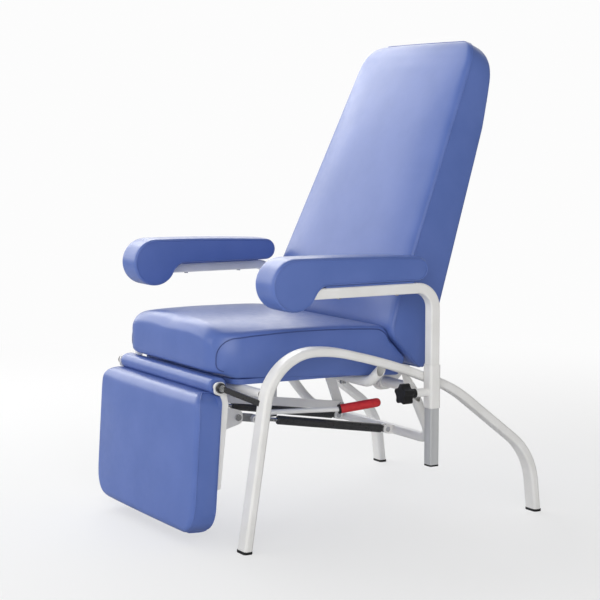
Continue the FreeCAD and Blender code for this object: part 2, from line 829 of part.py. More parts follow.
def make_back_plates():
    thickness = "Sizes.plate_thickness"
    outline, radii = back_plate_outline()
    plates = []
    bushes = []
    for name, side in SIDES.items():
        x = side * size("bush_x")
        low = f"{side} * Sizes.bush_x - {thickness} / 2"
        web = plate(f"back_web_{name}", outline, radii, low, thickness, [((BACK_Y, BACK_Z), BUSH_RADIUS)])
        plates.append(fused(f"back_plate_{name}", [web, back_flange(f"back_flange_{name}", x)]))
        base = Vector(x - size("bush_length") / 2, BACK_Y, BACK_Z)
        outer = cylinder(f"bush_outside_{name}", BUSH_RADIUS, "Sizes.bush_length", base, X_AXIS)
        bore = "Sizes.cross_tube_diameter / 2 + Sizes.running_clearance"
        inner = cylinder(f"bush_bore_{name}", bore, "Sizes.bush_length", base, X_AXIS)
        bushes.append(cut(f"back_bush_{name}", outer, inner))
    keep(group("back_hinge_plates", plates))
    keep(group("back_hinge_bushes", bushes))
    low = f"Sizes.sync_x - {thickness} / 2"
    web = plate("sync_web", outline, radii, low, thickness)
    arm_outline, arm_radii = stadium((BACK_Y, BACK_Z), SYNC_BACK, SYNC_EYE)
    arm = plate("sync_arm", arm_outline, arm_radii, low, thickness, [(SYNC_BACK, PIN)])
    lever = fused("sync_lever_blank", [web, arm, back_flange("sync_flange", size("sync_x"))])
    base = Vector(size("sync_x") - size("plate_thickness"), BACK_Y, BACK_Z)
    bore = cylinder("sync_lever_bore", "Sizes.cross_tube_diameter / 2 + Sizes.running_clearance",
                    f"2 * {thickness}", base, X_AXIS)
    keep(cut("sync_lever", lever, bore))


def make_back_bolts():
    heads = []
    facing = rear_point(0, 0, 1) - rear_point(0, 0, 0)
    for x in (-size("bush_x"), size("sync_x"), size("bush_x")):
        for up, shift in ((FLANGE_BOTTOM + BOLT_INSET, -BOLT_SHIFT), (FLANGE_TOP - BOLT_INSET, BOLT_SHIFT)):
            base = rear_point(x + shift, up, size("flange_thickness"))
            heads.append(cylinder("back_bolt", "Sizes.screw_diameter / 2", "Sizes.bolt_head_height / 2",
                                  base, facing))
    return keep(group("back_bolts", heads))


SIDE_SWELL = 3.0
BACK_CORNER = 12.0
BACK_FOOT_CROWN = (0.05, 0.15, 0.7)
BACK_STATIONS = (0.25, 0.5, 0.73)
# Near the top: distance below the top, front face, rear face and share of the crown.
BACK_TOP_ROWS = (
    (123.0, 0.0, 84.0, 1.0), (75.0, 0.0, 75.0, 0.9), (45.0, 1.0, 65.0, 0.7),
    (22.0, 4.0, 54.0, 0.5), (7.0, 9.0, 43.0, 0.3), (0.0, 16.0, 32.0, 0.1),
)
PANEL_SETBACK = 9.0
PANEL_CORNERS = (12.0, 12.0, 45.0, 45.0)
BUSH_EYE = 23.0
# Hinge plate behind the back, as heights up the panel and distances out from it.
PLATE_HEEL = (12.0, 40.0)
PLATE_TIP = 24.0
PLATE_TOE = -9.0
PLATE_RADII = (18.0, 40.0, 8.0, 0.0, 4.0)
FLANGE_BOTTOM = 6.0
FLANGE_TOP = 132.0
SYNC_EYE = 13.0
BOLT_SHIFT = 11.0
BOLT_INSET = 22.0
make_back_cushion(make_back_panel())
make_back_plates()
make_back_bolts()


# Leg rest
def make_legrest_board():
    half = size("legrest_half_width") - LEGREST_SETBACK
    tall = size("legrest_length") - 2 * LEGREST_BOARD_EDGE
    points = [Vector(-half, 0, 0), Vector(half, 0, 0), Vector(half, tall, 0), Vector(-half, tall, 0)]
    edges = rounded_edges(points, LEGREST_BOARD_CORNERS, closed=True)
    body, sketch = sketch_body("legrest_board", "XZ_Plane", "0", edges)
    pad(body, sketch, "Sizes.legrest_board")
    low = legrest_point(0, size("legrest_length") - LEGREST_BOARD_EDGE, 0.0)
    body.Placement = Placement(low, Rotation(X_AXIS, -size("legrest_lean")))
    return keep(body)


def make_legrest_pad():
    """Pad as sections across its height; depth runs rearward, so front faces are negative."""
    length = size("legrest_length")
    half = size("legrest_half_width")
    rear = size("legrest_board")
    front = size("legrest_thickness")
    rows = list(LEGREST_TOP_ROWS)
    rows.append((length / 2,) + LEGREST_MIDDLE)
    rows += [(length - row[0],) + row[1:] for row in LEGREST_LOW_ROWS]
    sections = []
    for down, narrower, thinner, lower, bulge in rows:
        wide = half - narrower
        behind = rear + thinner
        ahead = front - lower
        corner = min(LEGREST_CORNER, (ahead - behind) / 3)
        place = lambda x, depth, down=down: legrest_point(x, down, -depth)
        sections.append(section(pillow(wide, -ahead, -behind, bulge, corner), place))
    return keep(feature("legrest_pad", loft(sections)))


def make_legrest_hinge():
    y, z = LEGREST_AXIS
    half = size("hinge_tube_half")
    base = Vector(-half, y, z)
    span = "2 * Sizes.hinge_tube_half"
    outer = cylinder("hinge_tube_outside", "Sizes.hinge_tube_diameter / 2", span, base, X_AXIS)
    bore = "Sizes.hinge_bolt_diameter / 2 + Sizes.running_clearance"
    inner = cylinder("hinge_tube_bore", bore, span, base, X_AXIS)
    keep(cut("legrest_hinge_tube", outer, inner))
    roll = ROLL_HALF
    inside = size("hinge_tube_diameter") / 2
    outside = size("roll_diameter") / 2
    outline = [(inside, -roll), (outside, -roll), (outside, roll), (inside, roll)]
    turn = Placement(Vector(0, y, z), Rotation(Y_AXIS, 90))
    keep(turned("hinge_roll", outline, [0.0, ROLL_EDGE, ROLL_EDGE, 0.0], turn))


def legrest_flange(label, x, top, bottom):
    """Strap on the rear face of the leg rest board; x is its lower edge."""
    origin = legrest_point(x, bottom, 0.0)
    return tilted_box(label, origin, -size("legrest_lean"), "Sizes.strap_width", "Sizes.flange_thickness",
                      str(bottom - top))


def legrest_inside(x, side):
    """Lower X edge of a strap that starts at a plate's face and runs to one side of it."""
    return x if side > 0 else x - size("strap_width")


def make_brackets():
    """Side brackets that carry the leg rest on its hinge tube."""
    y, z = LEGREST_AXIS
    eye = BRACKET_EYE
    thickness = "Sizes.bracket_thickness"
    outline = [
        (y - eye, z - eye), legrest_yz(BRACKET_TOP, 0.0), legrest_yz(BRACKET_BOTTOM, 0.0),
        legrest_yz(BRACKET_BOTTOM, -BRACKET_TIP), legrest_yz(*BRACKET_HIP),
        (y + eye, z + eye), (y - eye, z + eye),
    ]
    radii = [*BRACKET_RADII, eye * EYE_ROUND, eye * EYE_ROUND]
    brackets = []
    for name, side in SIDES.items():
        inner = side * BRACKET_X
        middle = f"(Sizes.hinge_tube_half - Sizes.tube_overhang - {thickness} / 2)"
        low = f"{side} * {middle} - {thickness} / 2"
        web = plate(f"bracket_web_{name}", outline, radii, low, thickness,
                    [((y, z), "Sizes.hinge_tube_diameter / 2")])
        strap = legrest_flange(f"bracket_strap_{name}", legrest_inside(inner, -side), STRAP_TOP,
                               BRACKET_BOTTOM)
        brackets.append(fused(f"legrest_bracket_{name}", [web, strap]))
    keep(group("legrest_brackets", brackets))


def crank_outline(end, radius):
    """Gusset from the board's rear face to a pivot."""
    top = legrest_yz(STRAP_TOP, 0.0)
    bottom = legrest_yz(STRAP_BOTTOM, 0.0)
    middle = Vector((top[0] + bottom[0]) / 2, (top[1] + bottom[1]) / 2, 0)
    tip = Vector(end[0], end[1], 0)
    along = (tip - middle).normalize() * radius
    side = Vector(-along.y, along.x, 0)
    corners = [tip + along - side, tip + along + side]
    outline = [bottom] + [(c.x, c.y) for c in corners] + [top]
    return outline, [0.0, radius * EYE_ROUND, radius * EYE_ROUND, 0.0]


def make_cranks():
    """Plates behind the leg rest for the gas springs and for the sync bar, with their bolts."""
    head = (SPRING_HEAD.y, SPRING_HEAD.z)
    thickness = "Sizes.bracket_thickness"
    bolts = []
    cranks = []
    for name, side in SIDES.items():
        near = f"{side} * Sizes.spring_x + {side} * (Sizes.head_width / 2 + Sizes.body_gap)"
        low = f"{near} + ({side} - 1) * {thickness} / 2"
        outline, radii = crank_outline(head, CRANK_EYE)
        web = plate(f"crank_web_{name}", outline, radii, low, thickness, [(head, PIN)])
        face = side * (size("spring_x") + size("head_width") / 2 + size("body_gap"))
        outer = face + side * size("bracket_thickness")
        strap = legrest_flange(f"crank_strap_{name}", legrest_inside(outer, side), STRAP_TOP, STRAP_BOTTOM)
        cranks.append(fused(f"legrest_crank_{name}", [web, strap]))
        bolts.append(make_crank_bolt(f"crank_bolt_{name}", face, head, side, thickness))
    keep(group("legrest_cranks", cranks))
    thickness = "Sizes.plate_thickness"
    low = f"Sizes.sync_x - {thickness} / 2"
    outline, radii = crank_outline(SYNC_LEG, SYNC_EYE)
    web = plate("sync_crank_web", outline, radii, low, thickness, [(SYNC_LEG, PIN)])
    outer = size("sync_x") - size("plate_thickness") / 2
    strap = legrest_flange("sync_crank_strap", legrest_inside(outer, -1.0), STRAP_TOP, STRAP_BOTTOM)
    keep(fused("sync_crank", [web, strap]))
    inner = outer + size("plate_thickness")
    bolts.append(make_crank_bolt("sync_crank_bolt", inner, SYNC_LEG, -1.0, thickness))
    keep(group("crank_bolts", bolts))


def make_crank_bolt(label, face, centre, side, thickness):
    """Shank inside the plate and a head on its outer face; the shank stops flush with the inner face."""
    base = Vector(face, centre[0], centre[1])
    out = X_AXIS * side
    shank = cylinder(label + "_shank", PIN, thickness, base, out)
    doc.recompute()
    seat = base + out * shank.Height.Value
    head = cylinder(label + "_head", "Sizes.bolt_head_diameter / 2", "Sizes.bolt_head_height", seat, out)
    return fused(label, [shank, head])


def make_legrest_bolts():
    heads = []
    facing = legrest_point(0, 0, -1) - legrest_point(0, 0, 0)
    strap = size("strap_width")
    outer = size("spring_x") + size("head_width") / 2 + size("body_gap") + size("bracket_thickness")
    places = [(size("sync_x") - size("plate_thickness") / 2 - strap / 2, STRAP_BOTTOM)]
    for side in SIDES.values():
        places.append((side * (BRACKET_X - strap / 2), BRACKET_BOTTOM))
        places.append((side * (outer + strap / 2), STRAP_BOTTOM))
    for x, bottom in places:
        for down in (STRAP_TOP + STRAP_BOLT, bottom - STRAP_BOLT):
            base = legrest_point(x, down, -size("flange_thickness"))
            heads.append(cylinder("legrest_bolt", "Sizes.screw_diameter / 2", "Sizes.bolt_head_height / 2",
                                  base, facing))
    return keep(group("legrest_bolts", heads))


def make_hinge_arms():
    """Slanted arms from the rails to the leg rest's hinge, and the bolts they hold."""
    y, z = LEGREST_AXIS
    bolts = []
    arms = []
    for name, side in SIDES.items():
        face = side * ARM_EYE_X
        eye = cylinder(f"arm_eye_{name}", "Sizes.arm_eye_diameter / 2", "Sizes.bracket_thickness",
                       Vector(face, y, z), X_AXIS * side)
        middle = Vector(face + side * size("bracket_thickness") / 2, y, z)
        foot = Vector(side * size("arch_x"), size("arm_foot_y"), size("arm_foot_z"))
        along = foot - middle
        flat = Vector(along.x, along.y, 0)
        dip = math.degrees(math.atan2(-along.z, flat.Length))
        turn = Rotation(X_AXIS, flat).multiply(Rotation(Y_AXIS, dip))
        bar = doc.addObject("Part::Box", f"arm_bar_{name}")
        bind(bar, Length=str(along.Length), Width="Sizes.bracket_thickness", Height="Sizes.arm_bar_height")
        corner = Vector(0, -size("bracket_thickness") / 2, -size("arm_bar_height") / 2)
        bar.Placement = Placement(middle + turn.multVec(corner), turn)
        blank = fused(f"arm_blank_{name}", [eye, bar])
        start = Vector(side * (size("hinge_tube_half") - HINGE_BOLT_ENTRY), y, z)
        reach = str(size("arm_gap") + size("bracket_thickness") + HINGE_BOLT_ENTRY)
        shank = cylinder(f"hinge_bolt_shank_{name}", "Sizes.hinge_bolt_diameter / 2", reach, start,
                         X_AXIS * side)
        seat = Vector(face + side * size("bracket_thickness"), y, z)
        head = cylinder(f"hinge_bolt_head_{name}", "Sizes.bolt_head_diameter / 2", "Sizes.bolt_head_height",
                        seat, X_AXIS * side)
        bolt = fused(f"hinge_bolt_{name}", [shank, head])
        arms.append(cut(f"hinge_arm_{name}", blank, group(f"arm_tools_{name}", [bolt, arch_tools])))
        bolts.append(bolt)
    keep(group("hinge_arms", arms))
    keep(group("legrest_hinge_bolts", bolts))


LEGREST_SETBACK = 9.0
LEGREST_BOARD_EDGE = 5.0
LEGREST_CORNER = 15.0
LEGREST_CROWN = 4.0
# Leg rest pad: distance from its end, then insets of side, rear and front, then the crown.
LEGREST_TOP_ROWS = (
    (0.0, 26.0, 5.0, 14.0, 1.0), (8.0, 8.0, 0.0, 6.0, 2.0), (32.0, 0.0, 0.0, 2.0, LEGREST_CROWN),
)
LEGREST_MIDDLE = (3.0, 0.0, 2.0, LEGREST_CROWN)
LEGREST_LOW_ROWS = (
    (60.0, 5.0, 0.0, 2.0, LEGREST_CROWN), (34.0, 11.0, 0.0, 3.0, 3.0), (14.0, 26.0, 0.0, 6.0, 2.0),
    (4.0, 44.0, 2.0, 12.0, 1.5), (0.0, 60.0, 5.0, 17.0, 1.0),
)
LEGREST_BOARD_CORNERS = (60.0, 60.0, 20.0, 20.0)
ROLL_EDGE = 4.0
BRACKET_EYE = 13.0
EYE_ROUND = 0.9
# Hinge bracket of the leg rest, as distances down its board and out from it.
BRACKET_TOP = 4.0
BRACKET_TIP = 12.0
BRACKET_HIP = (24.0, -20.0)
BRACKET_RADII = (6.0, 0.0, 0.0, 6.0, 24.0)
BRACKET_BOTTOM = 220.0
STRAP_TOP = 30.0
STRAP_BOTTOM = 135.0
STRAP_BOLT = 16.0
CRANK_EYE = 14.0
HINGE_BOLT_ENTRY = 30.0
make_legrest_board()
make_legrest_pad()
make_legrest_hinge()
make_brackets()
make_cranks()
make_legrest_bolts()
make_hinge_arms()


# Sync bar between the back and the leg rest
def make_sync_bar():
    low = "Sizes.sync_x + Sizes.plate_thickness / 2 + Sizes.body_gap"
    outline, radii = stadium(SYNC_BACK, SYNC_LEG, size("sync_bar_width") / 2)
    holes = [(SYNC_BACK, PIN_HOLE), (SYNC_LEG, PIN_HOLE)]
    keep(plate("sync_bar", outline, radii, low, "Sizes.sync_bar_thickness", holes))
    start = size("sync_x") - size("plate_thickness") / 2
    base = Vector(start, SYNC_BACK[0], SYNC_BACK[1])
    reach = "Sizes.plate_thickness + Sizes.sync_bar_thickness + 2 * Sizes.body_gap"
    shank = cylinder("sync_pin_shank", PIN, reach, base, X_AXIS)
    doc.recompute()
    outer = base + X_AXIS * shank.Height.Value
    near = cylinder("sync_pin_head", "Sizes.bolt_head_diameter / 2", "Sizes.bolt_head_height / 2",
                    base, X_AXIS * -1)
    far = cylinder("sync_pin_cap", "Sizes.bolt_head_diameter / 2", "Sizes.bolt_head_height / 2",
                   outer, X_AXIS)
    keep(fused("sync_pin", [shank, near, far]))


# Gas springs
def spring_point(x, along, up=0.0):
    """Point along a gas spring from its rear eye, and above its centre line."""
    return Vector(x, 0, 0) + SPRING_EYE + SPRING_ALONG * along + SPRING_UP * up


def spring_yz(along, up):
    point = spring_point(0, along, up)
    return point.y, point.z


def make_lugs():
    """Two plates on the lower tube for each spring eye, with a pin through them."""
    plates = []
    pins = []
    eye = (SPRING_EYE.y, SPRING_EYE.z)
    root = (size("lower_run_y"), size("lower_run_z"))
    outline, radii = stadium(eye, root, LUG_EYE)
    gap = "(Sizes.eye_width / 2 + Sizes.body_gap)"
    for name, side in SIDES.items():
        centre = f"{side} * Sizes.spring_x"
        for index, low in enumerate((f"{centre} + {gap}", f"{centre} - {gap} - Sizes.lug_thickness")):
            blank = plate(f"lug_{name}_{index}", outline, radii, low, "Sizes.lug_thickness", [(eye, PIN)])
            plates.append(cut(f"lug_coped_{name}_{index}", blank, lower_outside))
        width = size("eye_width") + 2 * size("body_gap") + 2 * size("lug_thickness")
        base = Vector(side * size("spring_x") - width / 2, eye[0], eye[1])
        shank = cylinder(f"spring_pin_shank_{name}", PIN, str(width), base, X_AXIS)
        near = cylinder(f"spring_pin_head_{name}", "Sizes.pin_diameter * 0.75", "Sizes.bolt_head_height / 2",
                        base, X_AXIS * -1)
        far = cylinder(f"spring_pin_cap_{name}", "Sizes.pin_diameter * 0.75", "Sizes.bolt_head_height / 2",
                       base + X_AXIS * width, X_AXIS)
        pins.append(fused(f"spring_pin_{name}", [shank, near, far]))
    keep(group("gas_spring_lugs", plates))
    keep(group("gas_spring_pins", pins))


def make_gas_springs():
    turn = Rotation(Z_AXIS, SPRING_ALONG)
    radius = size("spring_diameter") / 2
    bore = radius - size("spring_wall")
    rod = size("rod_diameter") / 2
    clear = size("running_clearance")
    length = size("spring_length")
    cap = SPRING_CAP
    barrel = [(0, 0), (radius, 0), (radius, length), (rod + clear, length), (rod + clear, length - cap),
              (bore, length - cap), (bore, cap), (0, cap)]
    barrel_radii = [0, SPRING_EDGE, SPRING_EDGE, 0, 0, 0, 0, 0]
    inner_end = size("spring_start") + length - size("rod_inside")
    head_end = SPRING_SPAN - size("head_length") + HEAD_NOSE
    rod_length = head_end - inner_end
    shaft = [(0, 0), (bore - clear, 0), (bore - clear, PISTON), (rod, PISTON), (rod, rod_length),
             (0, rod_length)]
    for name, side in SIDES.items():
        x = side * size("spring_x")
        place = Placement(spring_point(x, size("spring_start")), turn)
        keep(turned(f"gas_cylinder_{name}", barrel, barrel_radii, place))
        width = size("eye_width")
        base = Vector(x - width / 2, SPRING_EYE.y, SPRING_EYE.z)
        ring = cylinder(f"eye_ring_{name}", "Sizes.eye_diameter / 2", "Sizes.eye_width", base, X_AXIS)
        neck = cylinder(f"eye_neck_{name}", "Sizes.eye_width * 0.4", "Sizes.spring_start",
                        spring_point(x, 0.0), SPRING_ALONG)
        hole = cylinder(f"eye_hole_{name}", PIN_HOLE, "Sizes.eye_width", base, X_AXIS)
        keep(cut(f"gas_eye_{name}", fused(f"eye_blank_{name}", [ring, neck]), hole))
        place = Placement(spring_point(x, inner_end), turn)
        keep(turned(f"gas_rod_{name}", shaft, [0.0] * len(shaft), place))
        half = size("head_height") / 2
        front = SPRING_SPAN + HEAD_NOSE
        outline = [spring_yz(head_end, -half), spring_yz(front, -half), spring_yz(front, half),
                   spring_yz(head_end, half)]
        radii = [HEAD_EDGE, half * HEAD_ROUND, half * HEAD_ROUND, HEAD_EDGE]
        low = f"{side} * Sizes.spring_x - Sizes.head_width / 2"
        keep(plate(f"release_head_{name}", outline, radii, low, "Sizes.head_width",
                   [((SPRING_HEAD.y, SPRING_HEAD.z), PIN)]))


def make_lever():
    """Release lever on the left spring's head: hub, bent arm, grip and pivot pin."""
    pivot = spring_point(0, SPRING_SPAN - size("lever_pivot"))
    face = size("spring_x") + size("head_width") / 2
    hub_width = "Sizes.lever_hub_width"
    base = Vector(face + size("body_gap"), pivot.y, pivot.z)
    hub = cylinder("lever_hub", "Sizes.lever_diameter * 0.75", hub_width, base, X_AXIS)
    radius = size("lever_diameter") / 2
    middle = base + X_AXIS * (size("lever_hub_width") / 2)
    grip_start = Vector(size("lever_grip_x"), size("lever_grip_y"), size("lever_grip_z"))
    rise = middle + Vector(size("lever_rise_x"), size("lever_rise_y"), size("lever_rise_z"))
    along = Vector(size("grip_turn_x"), size("grip_turn_y"), size("grip_turn_z")).normalize()
    grip_end = grip_start + along * size("grip_length")
    path = [middle, rise, grip_start, grip_end - along * GRIP_CAP]
    bends = [0.0, LEVER_BEND, LEVER_BEND * 2, 0.0]
    _, bar = round_tube(path, bends, size("lever_diameter"), size("cross_tube_wall"))
    blank = fused("lever_blank", [hub, feature("lever_bar", bar)])
    hole = cylinder("lever_hole", "Sizes.lever_pin / 2 + Sizes.running_clearance", hub_width, base, X_AXIS)
    keep(cut("release_lever", blank, hole))
    grip = size("grip_diameter") / 2
    length = size("grip_length")
    outline = [(radius, GRIP_START), (grip, GRIP_START), (grip, length), (0, length), (0, length - GRIP_CAP),
               (radius, length - GRIP_CAP)]
    place = Placement(grip_start, Rotation(Z_AXIS, along))
    keep(turned("lever_grip", outline, [0.0, GRIP_EDGE, grip * GRIP_ROUND, 0.0, 0.0, 0.0], place))
    start = Vector(face, pivot.y, pivot.z)
    reach = size("lever_hub_width") + 2 * size("body_gap")
    shank = cylinder("lever_pin_shank", "Sizes.lever_pin / 2", str(reach), start, X_AXIS)
    cap = cylinder("lever_pin_cap", "Sizes.lever_pin", "Sizes.bolt_head_height / 2",
                   start + X_AXIS * reach, X_AXIS)
    keep(fused("lever_pin", [shank, cap]))


LUG_EYE = 11.0
SPRING_CAP = 10.0
SPRING_EDGE = 2.5
PISTON = 12.0
HEAD_NOSE = 12.0
HEAD_EDGE = 2.0
HEAD_ROUND = 0.95
LEVER_BEND = 14.0
GRIP_CAP = 6.0
GRIP_START = 12.0
GRIP_EDGE = 4.0
GRIP_ROUND = 0.7
make_sync_bar()
make_lugs()
make_gas_springs()
make_lever()


# Armrests
def post_profile(centre, across, up, inset):
    return rectangle_wire(centre, across, up, size("post_width") - 2 * inset, size("post_depth") - 2 * inset,
                          size("post_corner") - inset)


def square_tube(low, high, x, y):
    """Upright length of the armrest tube section."""
    inset = size("post_wall")
    start = Vector(x, y, low)
    outer = Part.Face(post_profile(start, X_AXIS, Y_AXIS, 0.0))
    inner = Part.Face(post_profile(start, X_AXIS, Y_AXIS, inset))
    return outer.cut(inner).extrude(Z_AXIS * (high - low))


def plug(point, across, up, into):
    """Plastic plug: a cap on a tube's end and a core inside it; into points up the tube."""
    cap = Part.Face(post_profile(point, across, up, 0.0)).extrude(into * -size("plug_thickness"))
    inset = size("post_wall") + size("running_clearance")
    core = Part.Face(post_profile(point, across, up, inset)).extrude(into * PLUG_CORE)
    return cap.fuse(core).removeSplitter()


def make_armrest_tubes(name, side):
    x = side * POST_X
    y = size("post_y")
    low = Vector(x, y, size("post_joint"))
    corner = Vector(x, y, size("post_run_z"))
    end = Vector(x, size("post_front_y"), size("post_run_z"))
    path = wire(rounded_edges([low, corner, end], [0.0, size("post_bend"), 0.0]))
    outer = sweep(path, post_profile(low, X_AXIS, Y_AXIS, 0.0))
    inner = sweep(path, post_profile(low, X_AXIS, Y_AXIS, size("post_wall")))
    keep(feature(f"armrest_tube_{name}", outer.cut(inner)))
    keep(feature(f"armrest_post_{name}", square_tube(size("post_bottom"), size("post_joint"), x, y)))
    foot = Vector(x, y, size("post_bottom"))
    front = plug(end, X_AXIS, Z_AXIS, Y_AXIS)
    plugs = [plug(foot, X_AXIS, Y_AXIS, Z_AXIS), front]
    keep(feature(f"armrest_plugs_{name}", Part.makeCompound(plugs)))
    return [outer, front]


def pad_profile(inset, crown):
    """Side profile of an armrest pad, with the full round nose that hangs in front of its tube."""
    low = size("pad_top_z") - size("pad_thickness") + inset
    top = size("pad_top_z") - inset + crown
    front = size("pad_front_y") + inset
    rear = size("pad_rear_y") - inset
    nose = size("pad_drop_radius") - inset
    y = size("pad_front_y") + size("pad_drop_radius")
    z = size("pad_top_z") - size("pad_drop_radius")
    diagonal = math.sqrt(0.5)
    leave = math.radians(PAD_NOSE_LEAVE)
    nose_end = (y + nose * math.cos(leave), z - nose * math.sin(leave))
    throat = (nose_end[0] + PAD_THROAT, low)
    hollow = (nose_end[0] + PAD_THROAT * PAD_HOLLOW, low - (low - nose_end[1]) * PAD_HOLLOW)
    half = (top - low) / 2
    tail = rear - half
    return [
        ((tail, low), throat),
        (throat, hollow, nose_end),
        (nose_end, (y, z - nose), (front, z)),
        ((front, z), (y - nose * diagonal, z + nose * diagonal), (y, top)),
        ((y, top), ((y + tail) / 2, top + PAD_SWELL), (tail, top)),
        ((tail, top), (tail + half * diagonal, low + half + half * diagonal), (rear, low + half)),
        ((rear, low + half), (tail + half * diagonal, low + half - half * diagonal), (tail, low)),
    ]


def make_armrest_pad(name, side, inserts):
    """Padded bar with a pocket in its nose for the tube's front end."""
    x = side * size("pad_x")
    half = size("pad_width") / 2
    sections = []
    for share, inset, crown in PAD_SECTIONS:
        place = lambda y, z, share=share: Vector(x + share * half, y, z)
        sections.append(section(pad_profile(inset, crown), place))
    body = loft(sections)
    for insert in inserts:
        body = body.cut(insert)
    keep(feature(f"armrest_pad_{name}", body))


def make_armrest_board(name, side):
    """Plywood under the pad, and the screw heads under the tube that hold it."""
    low = size("post_run_z") + size("post_depth") / 2
    board = doc.addObject("Part::Box", f"armrest_board_{name}")
    bind(board, Length="Sizes.arm_board_width", Width="Sizes.arm_board_length",
         Height=f"Sizes.pad_top_z - Sizes.pad_thickness - {low}")
    x = side * (size("pad_x") + POST_X) / 2
    board.Placement = Placement(Vector(x - size("arm_board_width") / 2, size("arm_board_y"), low), Rotation())
    keep(board)
    heads = []
    rear = size("arm_board_y") + size("arm_board_length")
    for y in (size("arm_board_y") + SCREW_INSET, rear - SCREW_INSET):
        base = Vector(side * POST_X, y, size("post_run_z") - size("post_depth") / 2)
        heads.append(cylinder(f"armrest_screw_{name}", "Sizes.screw_diameter / 2",
                              "Sizes.bolt_head_height / 2", base, Z_AXIS * -1))
    return heads


def make_sleeve(name, side):
    """Clamp sleeve welded to the rail's outer side, with a threaded boss for the knob."""
    x = side * POST_X
    y = size("post_y")
    clear = size("sleeve_clearance")
    wall = size("sleeve_wall")
    start = Vector(x, y, size("sleeve_bottom"))
    inside = rectangle_wire(start, X_AXIS, Y_AXIS, size("post_width") + 2 * clear,
                            size("post_depth") + 2 * clear, size("post_corner") + clear)
    outside = rectangle_wire(start, X_AXIS, Y_AXIS, size("post_width") + 2 * clear + 2 * wall,
                             size("post_depth") + 2 * clear + 2 * wall, size("post_corner") + clear + wall)
    height = Z_AXIS * (size("sleeve_top") - size("sleeve_bottom"))
    sleeve = Part.Face(outside).cut(Part.Face(inside)).extrude(height)
    face = y - size("post_depth") / 2 - clear
    forward = Y_AXIS * -1
    seat = Vector(x, face - wall, size("knob_z"))
    boss = Part.makeCylinder(size("boss_diameter") / 2, size("boss_length"), seat, forward)
    hole_start = Vector(x, face + wall, size("knob_z"))
    hole = Part.makeCylinder(size("stud_diameter") / 2 + size("running_clearance"),
                             size("boss_length") + 3 * wall, hole_start, forward)
    keep(feature(f"clamp_sleeve_{name}", sleeve.fuse(boss).cut(hole).removeSplitter()))
    return Vector(x, face - wall - size("boss_length"), size("knob_z")), face


def make_knob(name, boss_end, post_face):
    """Star knob with five lobes, a neck and a stud that reaches the post."""
    forward = Y_AXIS * -1
    start = boss_end + forward * size("body_gap")
    stud_length = post_face - start.y
    stud = Part.makeCylinder(size("stud_diameter") / 2, stud_length, start, Y_AXIS)
    neck = Part.makeCylinder(size("knob_neck_diameter") / 2, size("knob_neck"), start, forward)
    radius = size("knob_diameter") / 2
    spoke = 2 * math.pi / KNOB_LOBES
    centre = start + forward * size("knob_neck")

    def rim(share, angle):
        return centre + Vector(radius * share * math.cos(angle), 0, radius * share * math.sin(angle))

    edges = []
    for lobe in range(KNOB_LOBES):
        middle = math.pi / 2 + lobe * spoke
        low = rim(KNOB_SHOULDER, middle - KNOB_LOBE_HALF)
        high = rim(KNOB_SHOULDER, middle + KNOB_LOBE_HALF)
        following = rim(KNOB_SHOULDER, middle + spoke - KNOB_LOBE_HALF)
        edges.append(Part.Arc(low, rim(1.0, middle), high).toShape())
        edges.append(Part.Arc(high, rim(KNOB_VALLEY, middle + spoke / 2), following).toShape())
    star = Part.Face(Part.Wire(edges)).extrude(forward * size("knob_thickness"))
    ends = [edge for edge in star.Edges if edge.BoundBox.YLength < FLAT]
    star = star.makeFillet(KNOB_EDGE, ends)
    keep(feature(f"knob_{name}", star.fuse(neck).fuse(stud).removeSplitter()))


PLUG_CORE = 18.0
PAD_NOSE_LEAVE = 36.0
PAD_THROAT = 30.0
PAD_HOLLOW = 0.38
PAD_SWELL = 1.0
PAD_SECTIONS = ((-1.0, 9.0, 0.0), (-0.8, 1.5, 0.5), (0.0, 0.0, 2.0), (0.8, 1.5, 0.5), (1.0, 9.0, 0.0))
SCREW_INSET = 40.0
KNOB_LOBES = 5
KNOB_LOBE_HALF = math.radians(16)
KNOB_SHOULDER = 0.88
KNOB_VALLEY = 0.74
KNOB_EDGE = 2.5
FLAT = 0.01
for name, side in SIDES.items():
    make_armrest_pad(name, side, make_armrest_tubes(name, side))
    keep(group(f"armrest_screws_{name}", make_armrest_board(name, side)))
    boss_end, post_face = make_sleeve(name, side)
    make_knob(name, boss_end, post_face)


doc.recompute()
os.makedirs("parts", exist_ok=True)
for obj in doc.Objects:
    if "Invalid" in obj.State or "Error" in obj.State:
        raise RuntimeError(f"{obj.Label} failed: {obj.State}")
for obj in NODES:
    shape = obj.Shape
    if shape.isNull() or not shape.isValid():
        raise RuntimeError(f"{obj.Label} has no valid shape")
    shape.exportStep(f"parts/{obj.Label}.step")
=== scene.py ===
"""Looks of the reclining clinic armchair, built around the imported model."""
import math

import bmesh
import bpy
from mathutils import Matrix, Vector, geometry


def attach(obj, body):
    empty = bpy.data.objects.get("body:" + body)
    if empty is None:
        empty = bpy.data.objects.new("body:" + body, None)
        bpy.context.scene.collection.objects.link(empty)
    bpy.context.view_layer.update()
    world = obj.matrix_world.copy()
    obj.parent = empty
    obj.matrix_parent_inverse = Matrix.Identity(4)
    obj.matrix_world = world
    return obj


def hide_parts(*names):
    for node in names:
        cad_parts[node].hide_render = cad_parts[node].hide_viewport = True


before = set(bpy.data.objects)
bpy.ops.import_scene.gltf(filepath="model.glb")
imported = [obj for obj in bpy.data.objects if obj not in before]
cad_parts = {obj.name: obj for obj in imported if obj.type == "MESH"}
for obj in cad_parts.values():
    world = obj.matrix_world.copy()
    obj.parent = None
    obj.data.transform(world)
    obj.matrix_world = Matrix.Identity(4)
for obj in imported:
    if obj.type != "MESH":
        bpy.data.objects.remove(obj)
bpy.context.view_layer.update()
scene = bpy.context.scene
MM = 0.001

